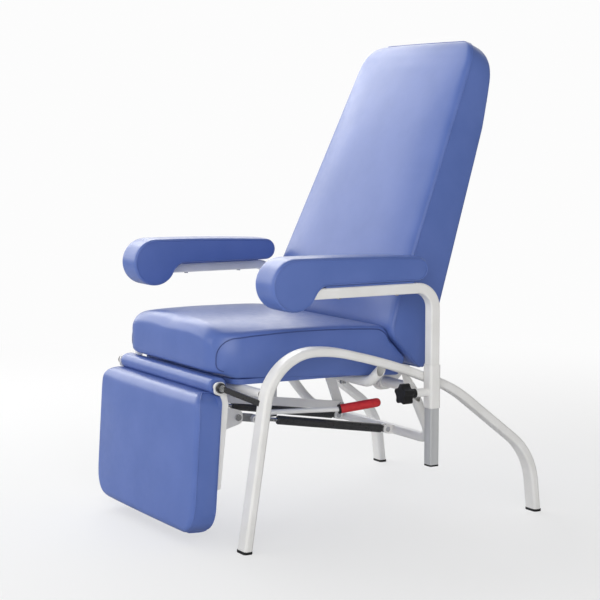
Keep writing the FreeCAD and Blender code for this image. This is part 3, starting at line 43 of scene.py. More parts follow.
# Sizes in millimetres, the same as in the solids. X is the sitter's left, the chair faces -Y.
BACK_LEAN = 23.1
BACK_FRONT = (42.0, 482.0)
BACK_LENGTH = 747.0
BACK_HALF = (307.0, 243.0)
BACK_THICKNESS = 128.0
BACK_TAPER = 0.0594
BACK_PANEL = 15.0
PANEL_TOUCH = 1.0
PANEL_TOP = 545.0
PANEL_SETBACK = 9.0
BACK_TOP_CORNER = 68.0
BACK_CROWN = 9.0
BACK_FOOT = ((60.0, 0.0), (-18.0, 18.0), (-60.0, 106.0))
SEAT_FRONT_Y = -389.5
# Half width of the seat's seam along its length; the filling swells the side panels beyond it.
SEAT_PLAN = ((-378.0, 226.0), (-360.0, 235.0), (-345.0, 241.0), (-325.0, 247.0), (-277.0, 252.5),
             (-181.0, 259.5), (-60.0, 275.0), (73.5, 294.0))
SEAT_CORNER = 45.0
SEAT_BOW = 11.0
SEAT_SIDE_TOP = 479.0
SEAT_CROWN = 26.0
SEAT_BACK_GAP = 4.0
SEAT_SKIRT_SLOPE = 2.3
SEAT_SKIRT_FROM = (-317.0, 376.5)
SEAT_TOE = 16.0
SEAT_LIP = 48.0
SEAT_LIP_RISE = 12.0
SEAT_NOSE = ((0.0, 31.0), (0.955, 31.0), (1.0, 45.0))
SEAT_REAR_TOP = 483.0
SEAT_REAR_ROUND = 30.0
SEAT_TOP_SWELL = 6.0
SEAT_HEEL = 16.0
BOARD_TOP = 376.5
BOARD_REAR_Y = 57.0
BOARD_SHARE = 0.96
BOARD_TOUCH = 1.0
LEG_TOP = (-382.5, 349.0)
LEG_LEAN = 3.9
LEG_LENGTH = 327.0
LEG_REAR = 1.5
LEG_FRONT = 62.0
LEG_ROUND = 27.0
LEG_LOW_ROUND = 18.9
LEG_FALL = 1.0
LEG_TOP_EDGE = 6.0
LEG_LOW_EDGE = 8.0
LEG_CROWN = 2.8
LEG_HALVES = ((0.0, 232.0), (6.0, 250.0), (16.0, 263.0), (32.0, 268.0), (52.0, 270.0), (163.5, 270.0),
              (255.0, 269.0), (280.0, 266.0), (302.0, 254.0), (317.0, 235.0), (327.0, 210.0))
ROLL_AXIS = (-386.5, 364.0)
ROLL_RADIUS = 17.5
ROLL_REAR = 11.0
ROLL_RISE = 3.0
ROLL_HALF = 243.0
ROLL_HOLE = 8.0
ARM_X = 359.5
ARM_HALF = 42.0
ARM_TOP = 655.0
ARM_THICKNESS = 58.5
ARM_FRONT = -327.0
ARM_REAR = 89.0
ARM_NOSE = 60.0
ARM_RISE = 6.0
ARM_FALL = 3.0
ARM_SWELL = 2.0
ARM_LEAVE = 36.0
ARM_THROAT = 30.0
ARM_HOLLOW = 0.38


# Outlines as points in a plane
STRAIGHT = 1e-6


def arc_points(a, middle, b, count):
    """Points along the circle through three points, without the last."""
    ax, ay = a
    bx, by = middle
    cx, cy = b
    d = 2 * (ax * (by - cy) + bx * (cy - ay) + cx * (ay - by))
    if abs(d) < STRAIGHT:
        return line_points(a, b, count)
    a2 = ax * ax + ay * ay
    b2 = bx * bx + by * by
    c2 = cx * cx + cy * cy
    ux = (a2 * (by - cy) + b2 * (cy - ay) + c2 * (ay - by)) / d
    uy = (a2 * (cx - bx) + b2 * (ax - cx) + c2 * (bx - ax)) / d
    radius = math.hypot(ax - ux, ay - uy)
    start = math.atan2(ay - uy, ax - ux)
    half = math.remainder(math.atan2(by - uy, bx - ux) - start, math.tau)
    rest = math.remainder(math.atan2(cy - uy, cx - ux) - start - half, math.tau)
    turn = half + rest
    angles = [start + turn * i / count for i in range(count)]
    return [(ux + radius * math.cos(angle), uy + radius * math.sin(angle)) for angle in angles]


def line_points(a, b, count):
    """Points along a straight edge, without the last."""
    return [(a[0] + (b[0] - a[0]) * i / count, a[1] + (b[1] - a[1]) * i / count) for i in range(count)]


def trace(edges):
    """Closed outline from (count, points) edges: two points are a line and three are an arc."""
    outline = []
    for count, points in edges:
        make = line_points if len(points) == 2 else arc_points
        outline += make(*points, count)
    return outline


def between(rows, at):
    """Value at a place in rows of (place, value), with straight runs between them."""
    for (a, va), (b, vb) in zip(rows, rows[1:]):
        if at <= b:
            break
    return va + (vb - va) * (at - a) / (b - a)


def mirrored(half):
    """Shares from -1 to 1, from the shares of one half in rising order."""
    return [-s for s in reversed(half) if s > 0] + list(half)


# Padded forms
SWELL_REACH = 42.0
PANEL_CLEAR = 0.65
PANEL_MERGE = 1e-4
PANEL_FLAT = 0.6
PANEL_SQUARE = 0.9


def linked(name, data):
    """New object in the scene."""
    obj = bpy.data.objects.new(name, data)
    scene.collection.objects.link(obj)
    return obj


def bridge(bm, rings):
    """Faces between each ring of points and the next."""
    count = len(rings[0])
    for left, right in zip(rings, rings[1:]):
        for i in range(count):
            j = (i + 1) % count
            bm.faces.new((left[i], left[j], right[j], right[i]))


def finished(bm, name):
    """Object with the mesh that was built, its faces turned outward."""
    bmesh.ops.recalc_face_normals(bm, faces=bm.faces)
    mesh = bpy.data.meshes.new(name)
    bm.to_mesh(mesh)
    bm.free()
    return linked(name, mesh)


def fill_end(bm, ring, outline, place, step, swell):
    """Panel that closes an end ring, on a square grid in its outline, and swells away from its edge."""
    flat = [Vector(point) for point in outline]
    count = len(flat)
    edges = [(i, (i + 1) % count) for i in range(count)]
    low = [min(p[k] for p in flat) for k in (0, 1)]
    high = [max(p[k] for p in flat) for k in (0, 1)]
    inner = []
    for i in range(1, int((high[0] - low[0]) / step) + 1):
        for j in range(1, int((high[1] - low[1]) / step) + 1):
            point = Vector((low[0] + i * step, low[1] + j * step))
            if inside(point, flat) and edge_distance(point, flat) > step * PANEL_CLEAR:
                inner.append(point)
    points, _, faces, sources, _, _ = geometry.delaunay_2d_cdt(flat + inner, edges, [], 1, PANEL_MERGE)
    verts = []
    for point, source in zip(points, sources):
        first = min(source) if source else count
        if first < count:
            verts.append(ring[first])
        else:
            flatness = max(0.0, 1 - edge_distance(point, flat) / SWELL_REACH)
            verts.append(bm.verts.new(place(*point) + swell * (1 - flatness ** 2)))
    made = [bm.faces.new([verts[i] for i in face]) for face in faces]
    bmesh.ops.join_triangles(
        bm, faces=made, angle_face_threshold=PANEL_FLAT, angle_shape_threshold=PANEL_SQUARE)


def inside(point, outline):
    """Whether a point lies within a closed outline."""
    x, y = point
    odd = False
    for a, b in zip(outline, outline[1:] + outline[:1]):
        if (a.y > y) != (b.y > y) and x < (b.x - a.x) * (y - a.y) / (b.y - a.y) + a.x:
            odd = not odd
    return odd


def edge_distance(point, outline):
    """Distance from a point to the nearest edge of a closed outline."""
    nearest = math.inf
    for a, b in zip(outline, outline[1:] + outline[:1]):
        near, share = geometry.intersect_point_line(point, a, b)
        near = a if share < 0 else b if share > 1 else Vector(near[:2])
        nearest = min(nearest, (near - point).length)
    return nearest


def soft_form(name, shares, outline, place, panel):
    """Closed mesh: a ring of the outline for each share of the width, and a swollen panel at each end."""
    step, swell = panel
    bm = bmesh.new()
    rings = [[bm.verts.new(place(share, *point)) for point in outline(share)] for share in shares]
    bridge(bm, rings)
    for ring, share in ((rings[0], shares[0]), (rings[-1], shares[-1])):
        fill_end(bm, ring, outline(share), lambda p, q, share=share: place(share, p, q), step,
                 Vector((share * swell * MM, 0, 0)))
    return finished(bm, name), len(rings[0])


def crease(obj, paths, amount):
    """Marks seams, so that the smoothing keeps them."""
    wanted = {frozenset(pair) for path in paths for pair in zip(path, path[1:])}
    layer = obj.data.attributes.new("crease_edge", "FLOAT", "EDGE")
    for edge in obj.data.edges:
        if frozenset(edge.vertices) in wanted:
            layer.data[edge.index].value = amount


# Cloth of the covers, and the frames in which it fills
CLOTH_FRAMES = 16
CLOTH = {
    "quality": 5, "mass": 0.2, "tension_stiffness": 18.0, "compression_stiffness": 18.0,
    "shear_stiffness": 8.0, "bending_stiffness": 1.5, "use_pressure": True, "vertex_group_mass": "held",
}


def add_cloth(obj, held, pressure):
    """Lets a cover swell under inner pressure, held at the given points."""
    group = obj.vertex_groups.new(name="held")
    group.add(sorted(set(held)), 1.0, "REPLACE")
    cloth = obj.modifiers.new("filling", "CLOTH")
    for name, value in CLOTH.items():
        setattr(cloth.settings, name, value)
    cloth.settings.uniform_pressure_force = pressure
    cloth.settings.effector_weights.gravity = 0.0
    cloth.point_cache.frame_start = 1
    cloth.point_cache.frame_end = CLOTH_FRAMES


SETTLE_ROUNDS = 30


def settle(obj, reach):
    """Takes over the filled shape, with no point moved further than reach and small wrinkles evened out."""
    filled = obj.evaluated_get(bpy.context.evaluated_depsgraph_get()).data
    moves = []
    for before, after in zip(obj.data.vertices, filled.vertices):
        move = after.co - before.co
        moves.append(move * min(1.0, reach / max(move.length, reach)))
    held = {vertex.index for vertex in obj.data.vertices if vertex.groups}
    around = [[] for _ in moves]
    for edge in obj.data.edges:
        a, b = edge.vertices
        around[a].append(b)
        around[b].append(a)
    free = [i for i in range(len(moves)) if i not in held]
    for _ in range(SETTLE_ROUNDS):
        evened = list(moves)
        for i in free:
            mean = sum((moves[j] for j in around[i]), Vector()) / len(around[i])
            evened[i] = (moves[i] + mean) / 2
        moves = evened
    for vertex, move in zip(obj.data.vertices, moves):
        vertex.co += move


SMOOTH_LEVELS = 1


def smoothed(obj):
    """Applies a subdivision surface to the mesh."""
    modifier = obj.modifiers.new("smooth", "SUBSURF")
    modifier.levels = SMOOTH_LEVELS
    modifier.render_levels = SMOOTH_LEVELS
    made = bpy.data.meshes.new_from_object(obj.evaluated_get(bpy.context.evaluated_depsgraph_get()))
    obj.modifiers.clear()
    old = obj.data
    obj.data = made
    bpy.data.meshes.remove(old)
    made.name = obj.name
    made.shade_smooth()


PIPE = 0.0013
PIPE_ROUND = 3
PIPE_ORDER = 3
PIPE_STEPS = 3


def piping(name, paths, closed=False):
    """Welt cord sewn into a seam, as a tube along each path of points."""
    curve = bpy.data.curves.new(name, "CURVE")
    curve.dimensions = "3D"
    curve.bevel_depth = PIPE
    curve.bevel_resolution = PIPE_ROUND
    curve.use_fill_caps = True
    for path in paths:
        spline = curve.splines.new("NURBS")
        spline.points.add(len(path) - 1)
        for point, place in zip(spline.points, path):
            point.co = (*place, 1.0)
        spline.order_u = PIPE_ORDER
        spline.use_endpoint_u = not closed
        spline.use_cyclic_u = closed
        spline.resolution_u = PIPE_STEPS
    draft = linked(name + "_line", curve)
    bpy.context.view_layer.update()
    mesh = bpy.data.meshes.new_from_object(draft.evaluated_get(bpy.context.evaluated_depsgraph_get()))
    bpy.data.objects.remove(draft)
    mesh.name = name
    mesh.shade_smooth()
    return linked(name, mesh)


# Seat
def back_point(x, up, depth):
    """Place on the leaning back, from its height along the front and its depth behind it."""
    lean = math.radians(BACK_LEAN)
    y = BACK_FRONT[0] + up * math.sin(lean) + depth * math.cos(lean)
    z = BACK_FRONT[1] + up * math.cos(lean) - depth * math.sin(lean)
    return Vector((x, y, z)) * MM


def seat_limit(z):
    """How far back the seat may reach at a height: a gap in front of the back's foot."""
    rows = [back_point(0, up, depth) / MM for up, depth in BACK_FOOT]
    for high, low in zip(rows, rows[1:]):
        if z >= low.z:
            break
    share = (z - low.z) / (high.z - low.z)
    return low.y + share * (high.y - low.y) - SEAT_BACK_GAP


def seat_setback(share):
    """How far the rounded corner draws the front back at a share of the half width."""
    reach = max(0.0, (abs(share) - 1) * SEAT_PLAN[0][1] + SEAT_CORNER)
    return SEAT_BOW * (reach / SEAT_CORNER) ** 2


def seat_bottom(y):
    """Height of the seat's sloping lower edge."""
    return SEAT_SKIRT_FROM[1] - (y - SEAT_SKIRT_FROM[0]) * math.tan(math.radians(SEAT_SKIRT_SLOPE))


def seat_outline(share):
    """Side profile of the seat at a share of its half width."""
    inset = between(SEAT_EDGE, abs(share))
    front = SEAT_FRONT_Y + seat_setback(share) + inset * SEAT_FRONT_INSET
    top = SEAT_SIDE_TOP + SEAT_CROWN * (1 - share ** 4) - inset
    knee = 1 - math.sqrt(0.5)
    lip = (front + SEAT_LIP, seat_bottom(front + SEAT_LIP) + inset)
    toe_start = (front + SEAT_TOE, lip[1] + SEAT_LIP_RISE)
    toe_end = (front, toe_start[1] + SEAT_TOE)
    toe_mid = (front + SEAT_TOE * knee, toe_start[1] + SEAT_TOE * knee)
    nose = between(SEAT_NOSE, abs(share))
    nose_start = (front, top - nose)
    nose_mid = (front + nose * knee, top - nose * knee)
    nose_end = (front + nose, top)
    rear_z = SEAT_REAR_TOP - inset
    corner = (seat_limit(rear_z) - inset, rear_z)
    rear = (corner[0] - SEAT_REAR_ROUND, rear_z)
    top_mid = ((nose_end[0] + rear[0]) / 2, (nose_end[1] + rear[1]) / 2 + SEAT_TOP_SWELL)
    bend_z = min(back_point(0, *BACK_FOOT[1]).z / MM, rear_z - SEAT_REAR_ROUND)
    bend = (seat_limit(bend_z) - inset, bend_z)
    rear_mid = ((rear[0] + bend[0]) / 4 + corner[0] / 2, (rear[1] + bend[1]) / 4 + corner[1] / 2)
    heel_z = back_point(0, *BACK_FOOT[2]).z / MM + SEAT_HEEL
    heel = (seat_limit(heel_z) - inset, heel_z)
    tail = (heel[0] - SEAT_HEEL, seat_bottom(heel[0] - SEAT_HEEL) + inset)
    return trace(zip(SEAT_STEPS, (
        (tail, lip), (lip, toe_start), (toe_start, toe_mid, toe_end), (toe_end, nose_start),
        (nose_start, nose_mid, nose_end), (nose_end, top_mid, rear), (rear, rear_mid, bend),
        (bend, heel), (heel, tail),
    )))


def seat_place(share, y, z):
    """Point of the seat cover; where it lies on the board it stays above it."""
    x = share * between(SEAT_PLAN, max(y, SEAT_PLAN[0][0]))
    under = z < seat_bottom(y) + BOARD_TOUCH
    if under and abs(share) < BOARD_SHARE and y < BOARD_REAR_Y:
        z = max(z, BOARD_TOP)
    return Vector((x, y, z)) * MM


# Share of the half width, and how far the rounded edge draws the profile in there.
SEAT_EDGE = ((0.0, 0.0), (0.955, 0.0), (0.983, 1.0), (0.995, 3.5), (1.0, 7.0))
SEAT_FRONT_INSET = 0.1
# Points on each edge of the profile: underside, lip, toe, front, nose, top, rear round, rear and heel.
SEAT_STEPS = (39, 4, 4, 7, 9, 40, 5, 8, 3)
SEAT_UNDER = sum(SEAT_STEPS[:2])
SEAT_REAR = sum(SEAT_STEPS[:7])
SEAT_SEAM = (SEAT_UNDER, SEAT_REAR + 2)
SEAT_EVEN = 23
SEAT_SPACING = 0.0345
SEAT_ENDS = [0.80, 0.84, 0.88, 0.914, 0.94, 0.955, 0.967, 0.978, 0.988, 0.995, 1.0]
seat_shares = mirrored([i * SEAT_SPACING for i in range(SEAT_EVEN)] + SEAT_ENDS)


# Back
def back_half(up):
    """Half width of the back at a height, with its round top corners."""
    share = up / BACK_LENGTH
    wide = BACK_HALF[0] + share * (BACK_HALF[1] - BACK_HALF[0])
    rise = max(0.0, BACK_TOP_CORNER - (BACK_LENGTH - up))
    return wide - BACK_TOP_CORNER + math.sqrt(BACK_TOP_CORNER ** 2 - rise ** 2)


def back_depth(up):
    return BACK_THICKNESS - BACK_TAPER * up


def back_outline(share):
    """Side profile of the back at a share of its half width, as height and depth."""
    inset = between(BACK_EDGE, abs(share))
    crown = BACK_CROWN * (1 - share ** 2)
    front = [(up, depth + inset - crown * bulge) for up, depth, bulge in BACK_FACE]
    path = front + list(BACK_REAR)
    return trace(zip(BACK_STEPS, zip(path, path[1:] + path[:1])))


def back_place(share, up, depth):
    """The cover wraps the panel's edges, so behind the panel's front face it stays outside them."""
    wide = back_half(up)
    on_panel = abs(share) * wide < wide - PANEL_SETBACK + PANEL_TOUCH and up < PANEL_TOP
    if on_panel and depth > back_depth(up) - PANEL_TOUCH:
        depth = back_depth(up) - BACK_PANEL / math.cos(math.atan(BACK_TAPER))
    return back_point(share * wide, up, depth)


BACK_EDGE = ((0.0, 0.0), (0.955, 0.0), (0.975, 0.8), (0.99, 3.0), (1.0, 8.0))
# Front face from the foot to the top: height, depth and share of the crown.
BACK_FACE = ((-60.0, 106.0, 0.05), (-18.0, 18.0, 0.15), (-8.0, 10.0, 0.25), (8.0, 4.0, 0.4), (60.0, 0.0, 0.8),
             (672.0, 0.0, 1.0), (709.0, 0.6, 0.8), (729.0, 3.5, 0.6), (741.0, 9.0, 0.4), (747.0, 17.0, 0.2))
BACK_REAR = ((747.0, 33.0), (740.0, 43.0), (725.0, 54.0), (702.0, 65.0), (672.0, 75.0), (624.0, 84.0),
             (548.0, back_depth(548.0)), (-60.0, back_depth(-60.0)))
BACK_STEPS = (8, 1, 1, 4, 50, 3, 2, 1, 1, 2, 1, 1, 2, 2, 3, 5, 48, 1)
BACK_SEAM_TOP = sum(BACK_STEPS[:9])
BACK_REAR_FROM = BACK_SEAM_TOP + 9
BACK_EVEN = 20
BACK_SPACING = 0.0475
BACK_ENDS = [0.93, 0.95, 0.968, 0.98, 0.99, 1.0]
back_shares = mirrored([i * BACK_SPACING for i in range(BACK_EVEN)] + BACK_ENDS)


# Leg rest
def leg_place(share, down, forward):
    """Point of the leg rest pad, from its distance down and in front of the board."""
    lean = math.radians(LEG_LEAN)
    x = share * between(LEG_HALVES, down)
    y = LEG_TOP[0] - down * math.sin(lean) - forward * math.cos(lean)
    z = LEG_TOP[1] - down * math.cos(lean) + forward * math.sin(lean)
    return Vector((x, y, z)) * MM


def leg_outline(share):
    """Side profile of the leg rest pad, as distance down and forward."""
    inset = between(LEG_EDGE, abs(share))
    front = LEG_FRONT - inset + LEG_CROWN * (1 - share ** 2)
    low_front = front - LEG_FALL
    knee = 1 - math.sqrt(0.5)
    foot_rear = (LEG_LENGTH - LEG_LOW_EDGE, LEG_REAR)
    head_rear = (LEG_TOP_EDGE, LEG_REAR)
    head = (0.0, LEG_REAR + LEG_TOP_EDGE)
    nose_start = (0.0, front - LEG_ROUND)
    nose_mid = (LEG_ROUND * knee, front - LEG_ROUND * knee)
    nose_end = (LEG_ROUND, front)
    toe_start = (LEG_LENGTH - LEG_LOW_ROUND, low_front)
    toe_mid = (LEG_LENGTH - LEG_LOW_ROUND * knee, low_front - LEG_LOW_ROUND * knee)
    toe_end = (LEG_LENGTH, low_front - LEG_LOW_ROUND)
    foot = (LEG_LENGTH, LEG_REAR + LEG_TOP_EDGE)
    return trace(zip(LEG_STEPS, (
        (foot_rear, head_rear), (head_rear, head), (head, nose_start), (nose_start, nose_mid, nose_end),
        (nose_end, toe_start), (toe_start, toe_mid, toe_end), (toe_end, foot), (foot, foot_rear),
    )))


LEG_EDGE = ((0.0, 0.0), (0.955, 0.0), (0.975, 0.8), (0.99, 3.0), (1.0, 6.5))
# Points on each edge of the profile: rear, top edge, top, nose, front, toe, foot and lower edge.
LEG_STEPS = (30, 2, 2, 6, 26, 4, 2, 2)
LEG_UNDER = sum(LEG_STEPS[:2])
LEG_FOOT = 3
LEG_SEAM = (LEG_UNDER, sum(LEG_STEPS))
LEG_EVEN = 21
LEG_SPACING = 0.045
LEG_ENDS = [0.93, 0.955, 0.975, 0.99, 1.0]
leg_shares = mirrored([i * LEG_SPACING for i in range(LEG_EVEN)] + LEG_ENDS)


# Armrest pads
def arm_outline(share):
    """Side profile of an armrest pad, with its full round nose."""
    inset = between(ARM_EDGE, abs(share))
    low = ARM_TOP - ARM_THICKNESS + inset
    top = ARM_TOP - inset + ARM_SWELL * (1 - share ** 2)
    high, tail_top = top + ARM_RISE, top - ARM_FALL
    front = ARM_FRONT + inset
    rear = ARM_REAR - inset
    nose = ARM_NOSE - inset
    y = ARM_FRONT + ARM_NOSE
    z = ARM_TOP + ARM_RISE - ARM_NOSE
    diagonal = math.sqrt(0.5)
    leave = math.radians(ARM_LEAVE)
    nose_end = (y + nose * math.cos(leave), z - nose * math.sin(leave))
    throat = (nose_end[0] + ARM_THROAT, low)
    hollow = (nose_end[0] + ARM_THROAT * ARM_HOLLOW, low - (low - nose_end[1]) * ARM_HOLLOW)
    half = (tail_top - low) / 2
    tail = rear - half
    return trace(zip(ARM_STEPS, (
        ((tail, low), throat), (throat, hollow, nose_end), (nose_end, (y, z - nose), (front, z)),
        ((front, z), (y - nose * diagonal, z + nose * diagonal), (y, high)),
        ((y, high), ((y + tail) / 2, (high + tail_top) / 2 + ARM_SWELL), (tail, tail_top)),
        ((tail, tail_top), (tail + half * diagonal, low + half + half * diagonal), (rear, low + half)),
        ((rear, low + half), (tail + half * diagonal, low + half - half * diagonal), (tail, low)),
    )))


def arm_place(share, y, z):
    return Vector((ARM_X + share * ARM_HALF, y, z)) * MM


ARM_EDGE = ((0.0, 0.0), (0.8, 0.0), (0.9, 0.5), (0.96, 1.6), (1.0, 4.0))
# Points on each edge of the profile: underside, throat, two parts of the nose, top and two of the tail.
ARM_STEPS = (28, 4, 16, 12, 38, 6, 6)
arm_shares = mirrored([0.0, 0.2, 0.4, 0.6, 0.8, 0.9, 0.96, 1.0])


# Filling: the covers are held at their seams and where they lie on a board, and swell between.
# Grid step and swell of each cover's side panels.
SEAT_SIDES = (10.0, 7.0)
BACK_SIDES = (12.0, 3.0)
LEG_SIDES = (10.0, 2.0)
ARM_SIDES = (9.0, 2.0)
# Pressure of each filling, and how far it may move a point, in metres.
SEAT_FILLING = (0.35, 0.012)
BACK_FILLING = (0.2, 0.010)
LEG_FILLING = (0.25, 0.008)
ARM_FILLING = (0.5, 0.005)
SEAM_CREASE = 0.6
seat, seat_count = soft_form("seat_cover", seat_shares, seat_outline, seat_place, SEAT_SIDES)
back, back_count = soft_form("back_cover", back_shares, back_outline, back_place, BACK_SIDES)
leg, leg_count = soft_form("legrest_cover", leg_shares, leg_outline, leg_place, LEG_SIDES)
arm, arm_count = soft_form("armrest_cover_left", arm_shares, arm_outline, arm_place, ARM_SIDES)


def ring_path(column, count, first, last):
    """Points along one ring of a cover."""
    return [column * count + i % count for i in range(first, last + 1)]


def across_path(columns, count, index):
    """Points across all the rings of a cover."""
    return [column * count + index for column in range(columns)]


def both_ends(columns, count, first, last):
    """Points along the first ring and the last."""
    return [ring_path(column, count, first, last) for column in (0, columns - 1)]


def between_indices(columns, count, first, last):
    """Points between two places on every ring."""
    return [column * count + i for column in range(columns) for i in range(first, last + 1)]


seat_columns, back_columns = len(seat_shares), len(back_shares)
leg_columns, arm_columns = len(leg_shares), len(arm_shares)
seat_seams = both_ends(seat_columns, seat_count, 0, seat_count)
back_side = ring_path(0, back_count, 0, BACK_SEAM_TOP)
back_far = ring_path(back_columns - 1, back_count, 0, BACK_SEAM_TOP)
back_across = across_path(back_columns, back_count, BACK_SEAM_TOP)
back_seams = [back_side[:-1] + back_across + back_far[-2::-1]]
leg_seams = both_ends(leg_columns, leg_count, *LEG_SEAM)
arm_seams = both_ends(arm_columns, arm_count, 0, arm_count)
for obj, seams in ((seat, seat_seams), (back, back_seams), (leg, leg_seams), (arm, arm_seams)):
    crease(obj, seams, SEAM_CREASE)

seat_under = between_indices(seat_columns, seat_count, 0, SEAT_UNDER)
seat_rear = between_indices(seat_columns, seat_count, SEAT_REAR, seat_count - 1)
back_rear = between_indices(back_columns, back_count, BACK_REAR_FROM, back_count - 1)
back_foot = between_indices(back_columns, back_count, 0, 0)
leg_under = between_indices(leg_columns, leg_count, 0, LEG_UNDER)
leg_foot = between_indices(leg_columns, leg_count, leg_count - LEG_FOOT, leg_count - 1)
arm_under = between_indices(arm_columns, arm_count, 0, ARM_STEPS[0])
fillings = (
    (seat, sum(seat_seams, []) + seat_under + seat_rear, SEAT_FILLING),
    (back, sum(back_seams, []) + back_rear + back_foot, BACK_FILLING),
    (leg, sum(leg_seams, []) + leg_under + leg_foot, LEG_FILLING),
    (arm, sum(arm_seams, []) + arm_under, ARM_FILLING),
)
for obj, held, (pressure, _) in fillings:
    add_cloth(obj, held, pressure)
for number in range(1, CLOTH_FRAMES + 1):
    scene.frame_set(number)
for obj, _, (_, reach) in fillings:
    settle(obj, reach)
for obj in (seat, back, leg, arm):
    obj.modifiers.clear()
scene.frame_set(1)
for obj in (seat, back, leg, arm):
    obj.vertex_groups.clear()
    smoothed(obj)


def seam_points(obj, path, out):
    """Places along a seam of a finished cover, a little proud of it."""
    return [obj.data.vertices[i].co + obj.data.vertices[i].normal * out for i in path]


# How far the pipings stand proud of their seams
SEAT_PROUD = 0.0006
PAD_PROUD = 0.0004
ARM_PROUD = 0.0002
seat_paths = [seam_points(seat, path[slice(*SEAT_SEAM)], SEAT_PROUD) for path in seat_seams]
seat_pipe = piping("seat_piping", seat_paths)
back_pipe = piping("back_piping", [seam_points(back, back_seams[0], PAD_PROUD)])
leg_pipe = piping("legrest_piping", [seam_points(leg, path, PAD_PROUD) for path in leg_seams])
arm_rings = both_ends(arm_columns, arm_count, 0, arm_count - 1)
arm_paths = [seam_points(arm, path, ARM_PROUD) for path in arm_rings]
arm_pipe = piping("armrest_piping_left", arm_paths, closed=True)


def copy_across(obj, name):
    """Mirror image of a piece on the other side of the chair."""
    mesh = obj.data.copy()
    mesh.transform(Matrix.Diagonal((-1.0, 1.0, 1.0, 1.0)))
    mesh.flip_normals()
    mesh.name = name
    return linked(name, mesh)


arm_right = copy_across(arm, "armrest_cover_right")
arm_pipe_right = copy_across(arm_pipe, "armrest_piping_right")


ROLL_TILT = math.radians(35.0)
ROLL_TURNS = 28
# Share of the half length, and how much smaller the roll is there.
ROLL_ROWS = [(i / 10, 0.0) for i in range(9)] + [
    (0.88, 0.0), (0.94, 0.0), (0.975, 0.0), (0.99, 0.6), (0.998, 2.2), (1.0, 4.0), (1.0, 6.0),
    (1.0, ROLL_RADIUS - ROLL_HOLE)]


def make_roll():
    """Padded roll on the leg rest's hinge tube, pulled back under the seat and drawn in at its ends."""
    bm = bmesh.new()
    rings = []
    for share, less in [(-share, less) for share, less in ROLL_ROWS[:0:-1]] + ROLL_ROWS:
        radius = ROLL_RADIUS - less
        ring = []
        for i in range(ROLL_TURNS):
            angle = math.tau * i / ROLL_TURNS
            y = ROLL_AXIS[0] + radius * math.cos(angle)
            z = ROLL_AXIS[1] + radius * math.sin(angle)
            stretched = radius / ROLL_RADIUS
            y += ROLL_REAR * stretched * max(0.0, math.cos(angle - ROLL_TILT))
            z += ROLL_RISE * stretched * max(0.0, math.sin(angle))
            ring.append(bm.verts.new(Vector((share * ROLL_HALF, y, z)) * MM))
        rings.append(ring)
    bridge(bm, rings + rings[:1])
    obj = finished(bm, "hinge_roll_cover")
    obj.data.shade_smooth()
    return obj


roll = make_roll()


# Grip of the release lever: a sleeve with lengthwise ridges, and a dark collar at its mouth
LEVER_BEND = (192.0, -25.0, 273.0)
LEVER_WAY = (25.0, 90.0, 12.0)
GRIP_RIDGES = 12
GRIP_GROOVE = 0.9
# Distance along the lever, radius and share of the groove, from the bore's end to the tip.
GRIP_ROWS = ((99.0, 0.0, 0.0), (99.0, 6.0, 0.0), (3.0, 6.0, 0.0), (3.0, 10.3, 0.0), (3.6, 10.9, 0.3),
             (5.5, 11.0, 1.0), (94.0, 11.0, 1.0), (99.5, 10.2, 0.6), (103.0, 8.0, 0.2), (104.6, 5.0, 0.0),
             (105.0, 0.0, 0.0))
COLLAR_ROWS = ((-2.0, 6.0, 0.0), (-2.0, 11.2, 0.0), (-1.4, 11.8, 0.0), (2.4, 11.8, 0.0), (3.0, 11.2, 0.0),
               (3.0, 6.0, 0.0), (-2.0, 6.0, 0.0))
RIDGE_POINTS = 4
SHARP_EDGE = math.radians(50.0)
WELD = 1e-6


def turned(name, rows):
    """Closed form turned about the lever's grip, with a groove between every two ridges."""
    way = Vector(LEVER_WAY).normalized()
    spin = way.to_track_quat("Z", "Y")
    turns = GRIP_RIDGES * RIDGE_POINTS
    bm = bmesh.new()
    rings = []
    for along, radius, groove in rows:
        middle = Vector(LEVER_BEND) + way * along
        ring = []
        for i in range(turns):
            depth = GRIP_GROOVE * groove if i % RIDGE_POINTS == 0 else 0.0
            angle = math.tau * i / turns
            out = spin @ Vector((math.cos(angle), math.sin(angle), 0.0))
            ring.append(bm.verts.new((middle + out * (radius - depth)) * MM))
        rings.append(ring)
    bridge(bm, rings)
    bmesh.ops.remove_doubles(bm, verts=bm.verts, dist=WELD)
    obj = finished(bm, name)
    obj.data.shade_smooth()
    obj.data.set_sharp_from_angle(angle=SHARP_EDGE)
    return obj


sleeve = turned("grip_sleeve", GRIP_ROWS)
collar = turned("grip_collar", COLLAR_ROWS)


# Materials
def linear(red, green, blue):
    """Linear colour from display values of 0 to 255."""
    def channel(value):
        value /= 255.0
        return value / 12.92 if value <= 0.04045 else ((value + 0.055) / 1.055) ** 2.4
    return channel(red), channel(green), channel(blue), 1.0


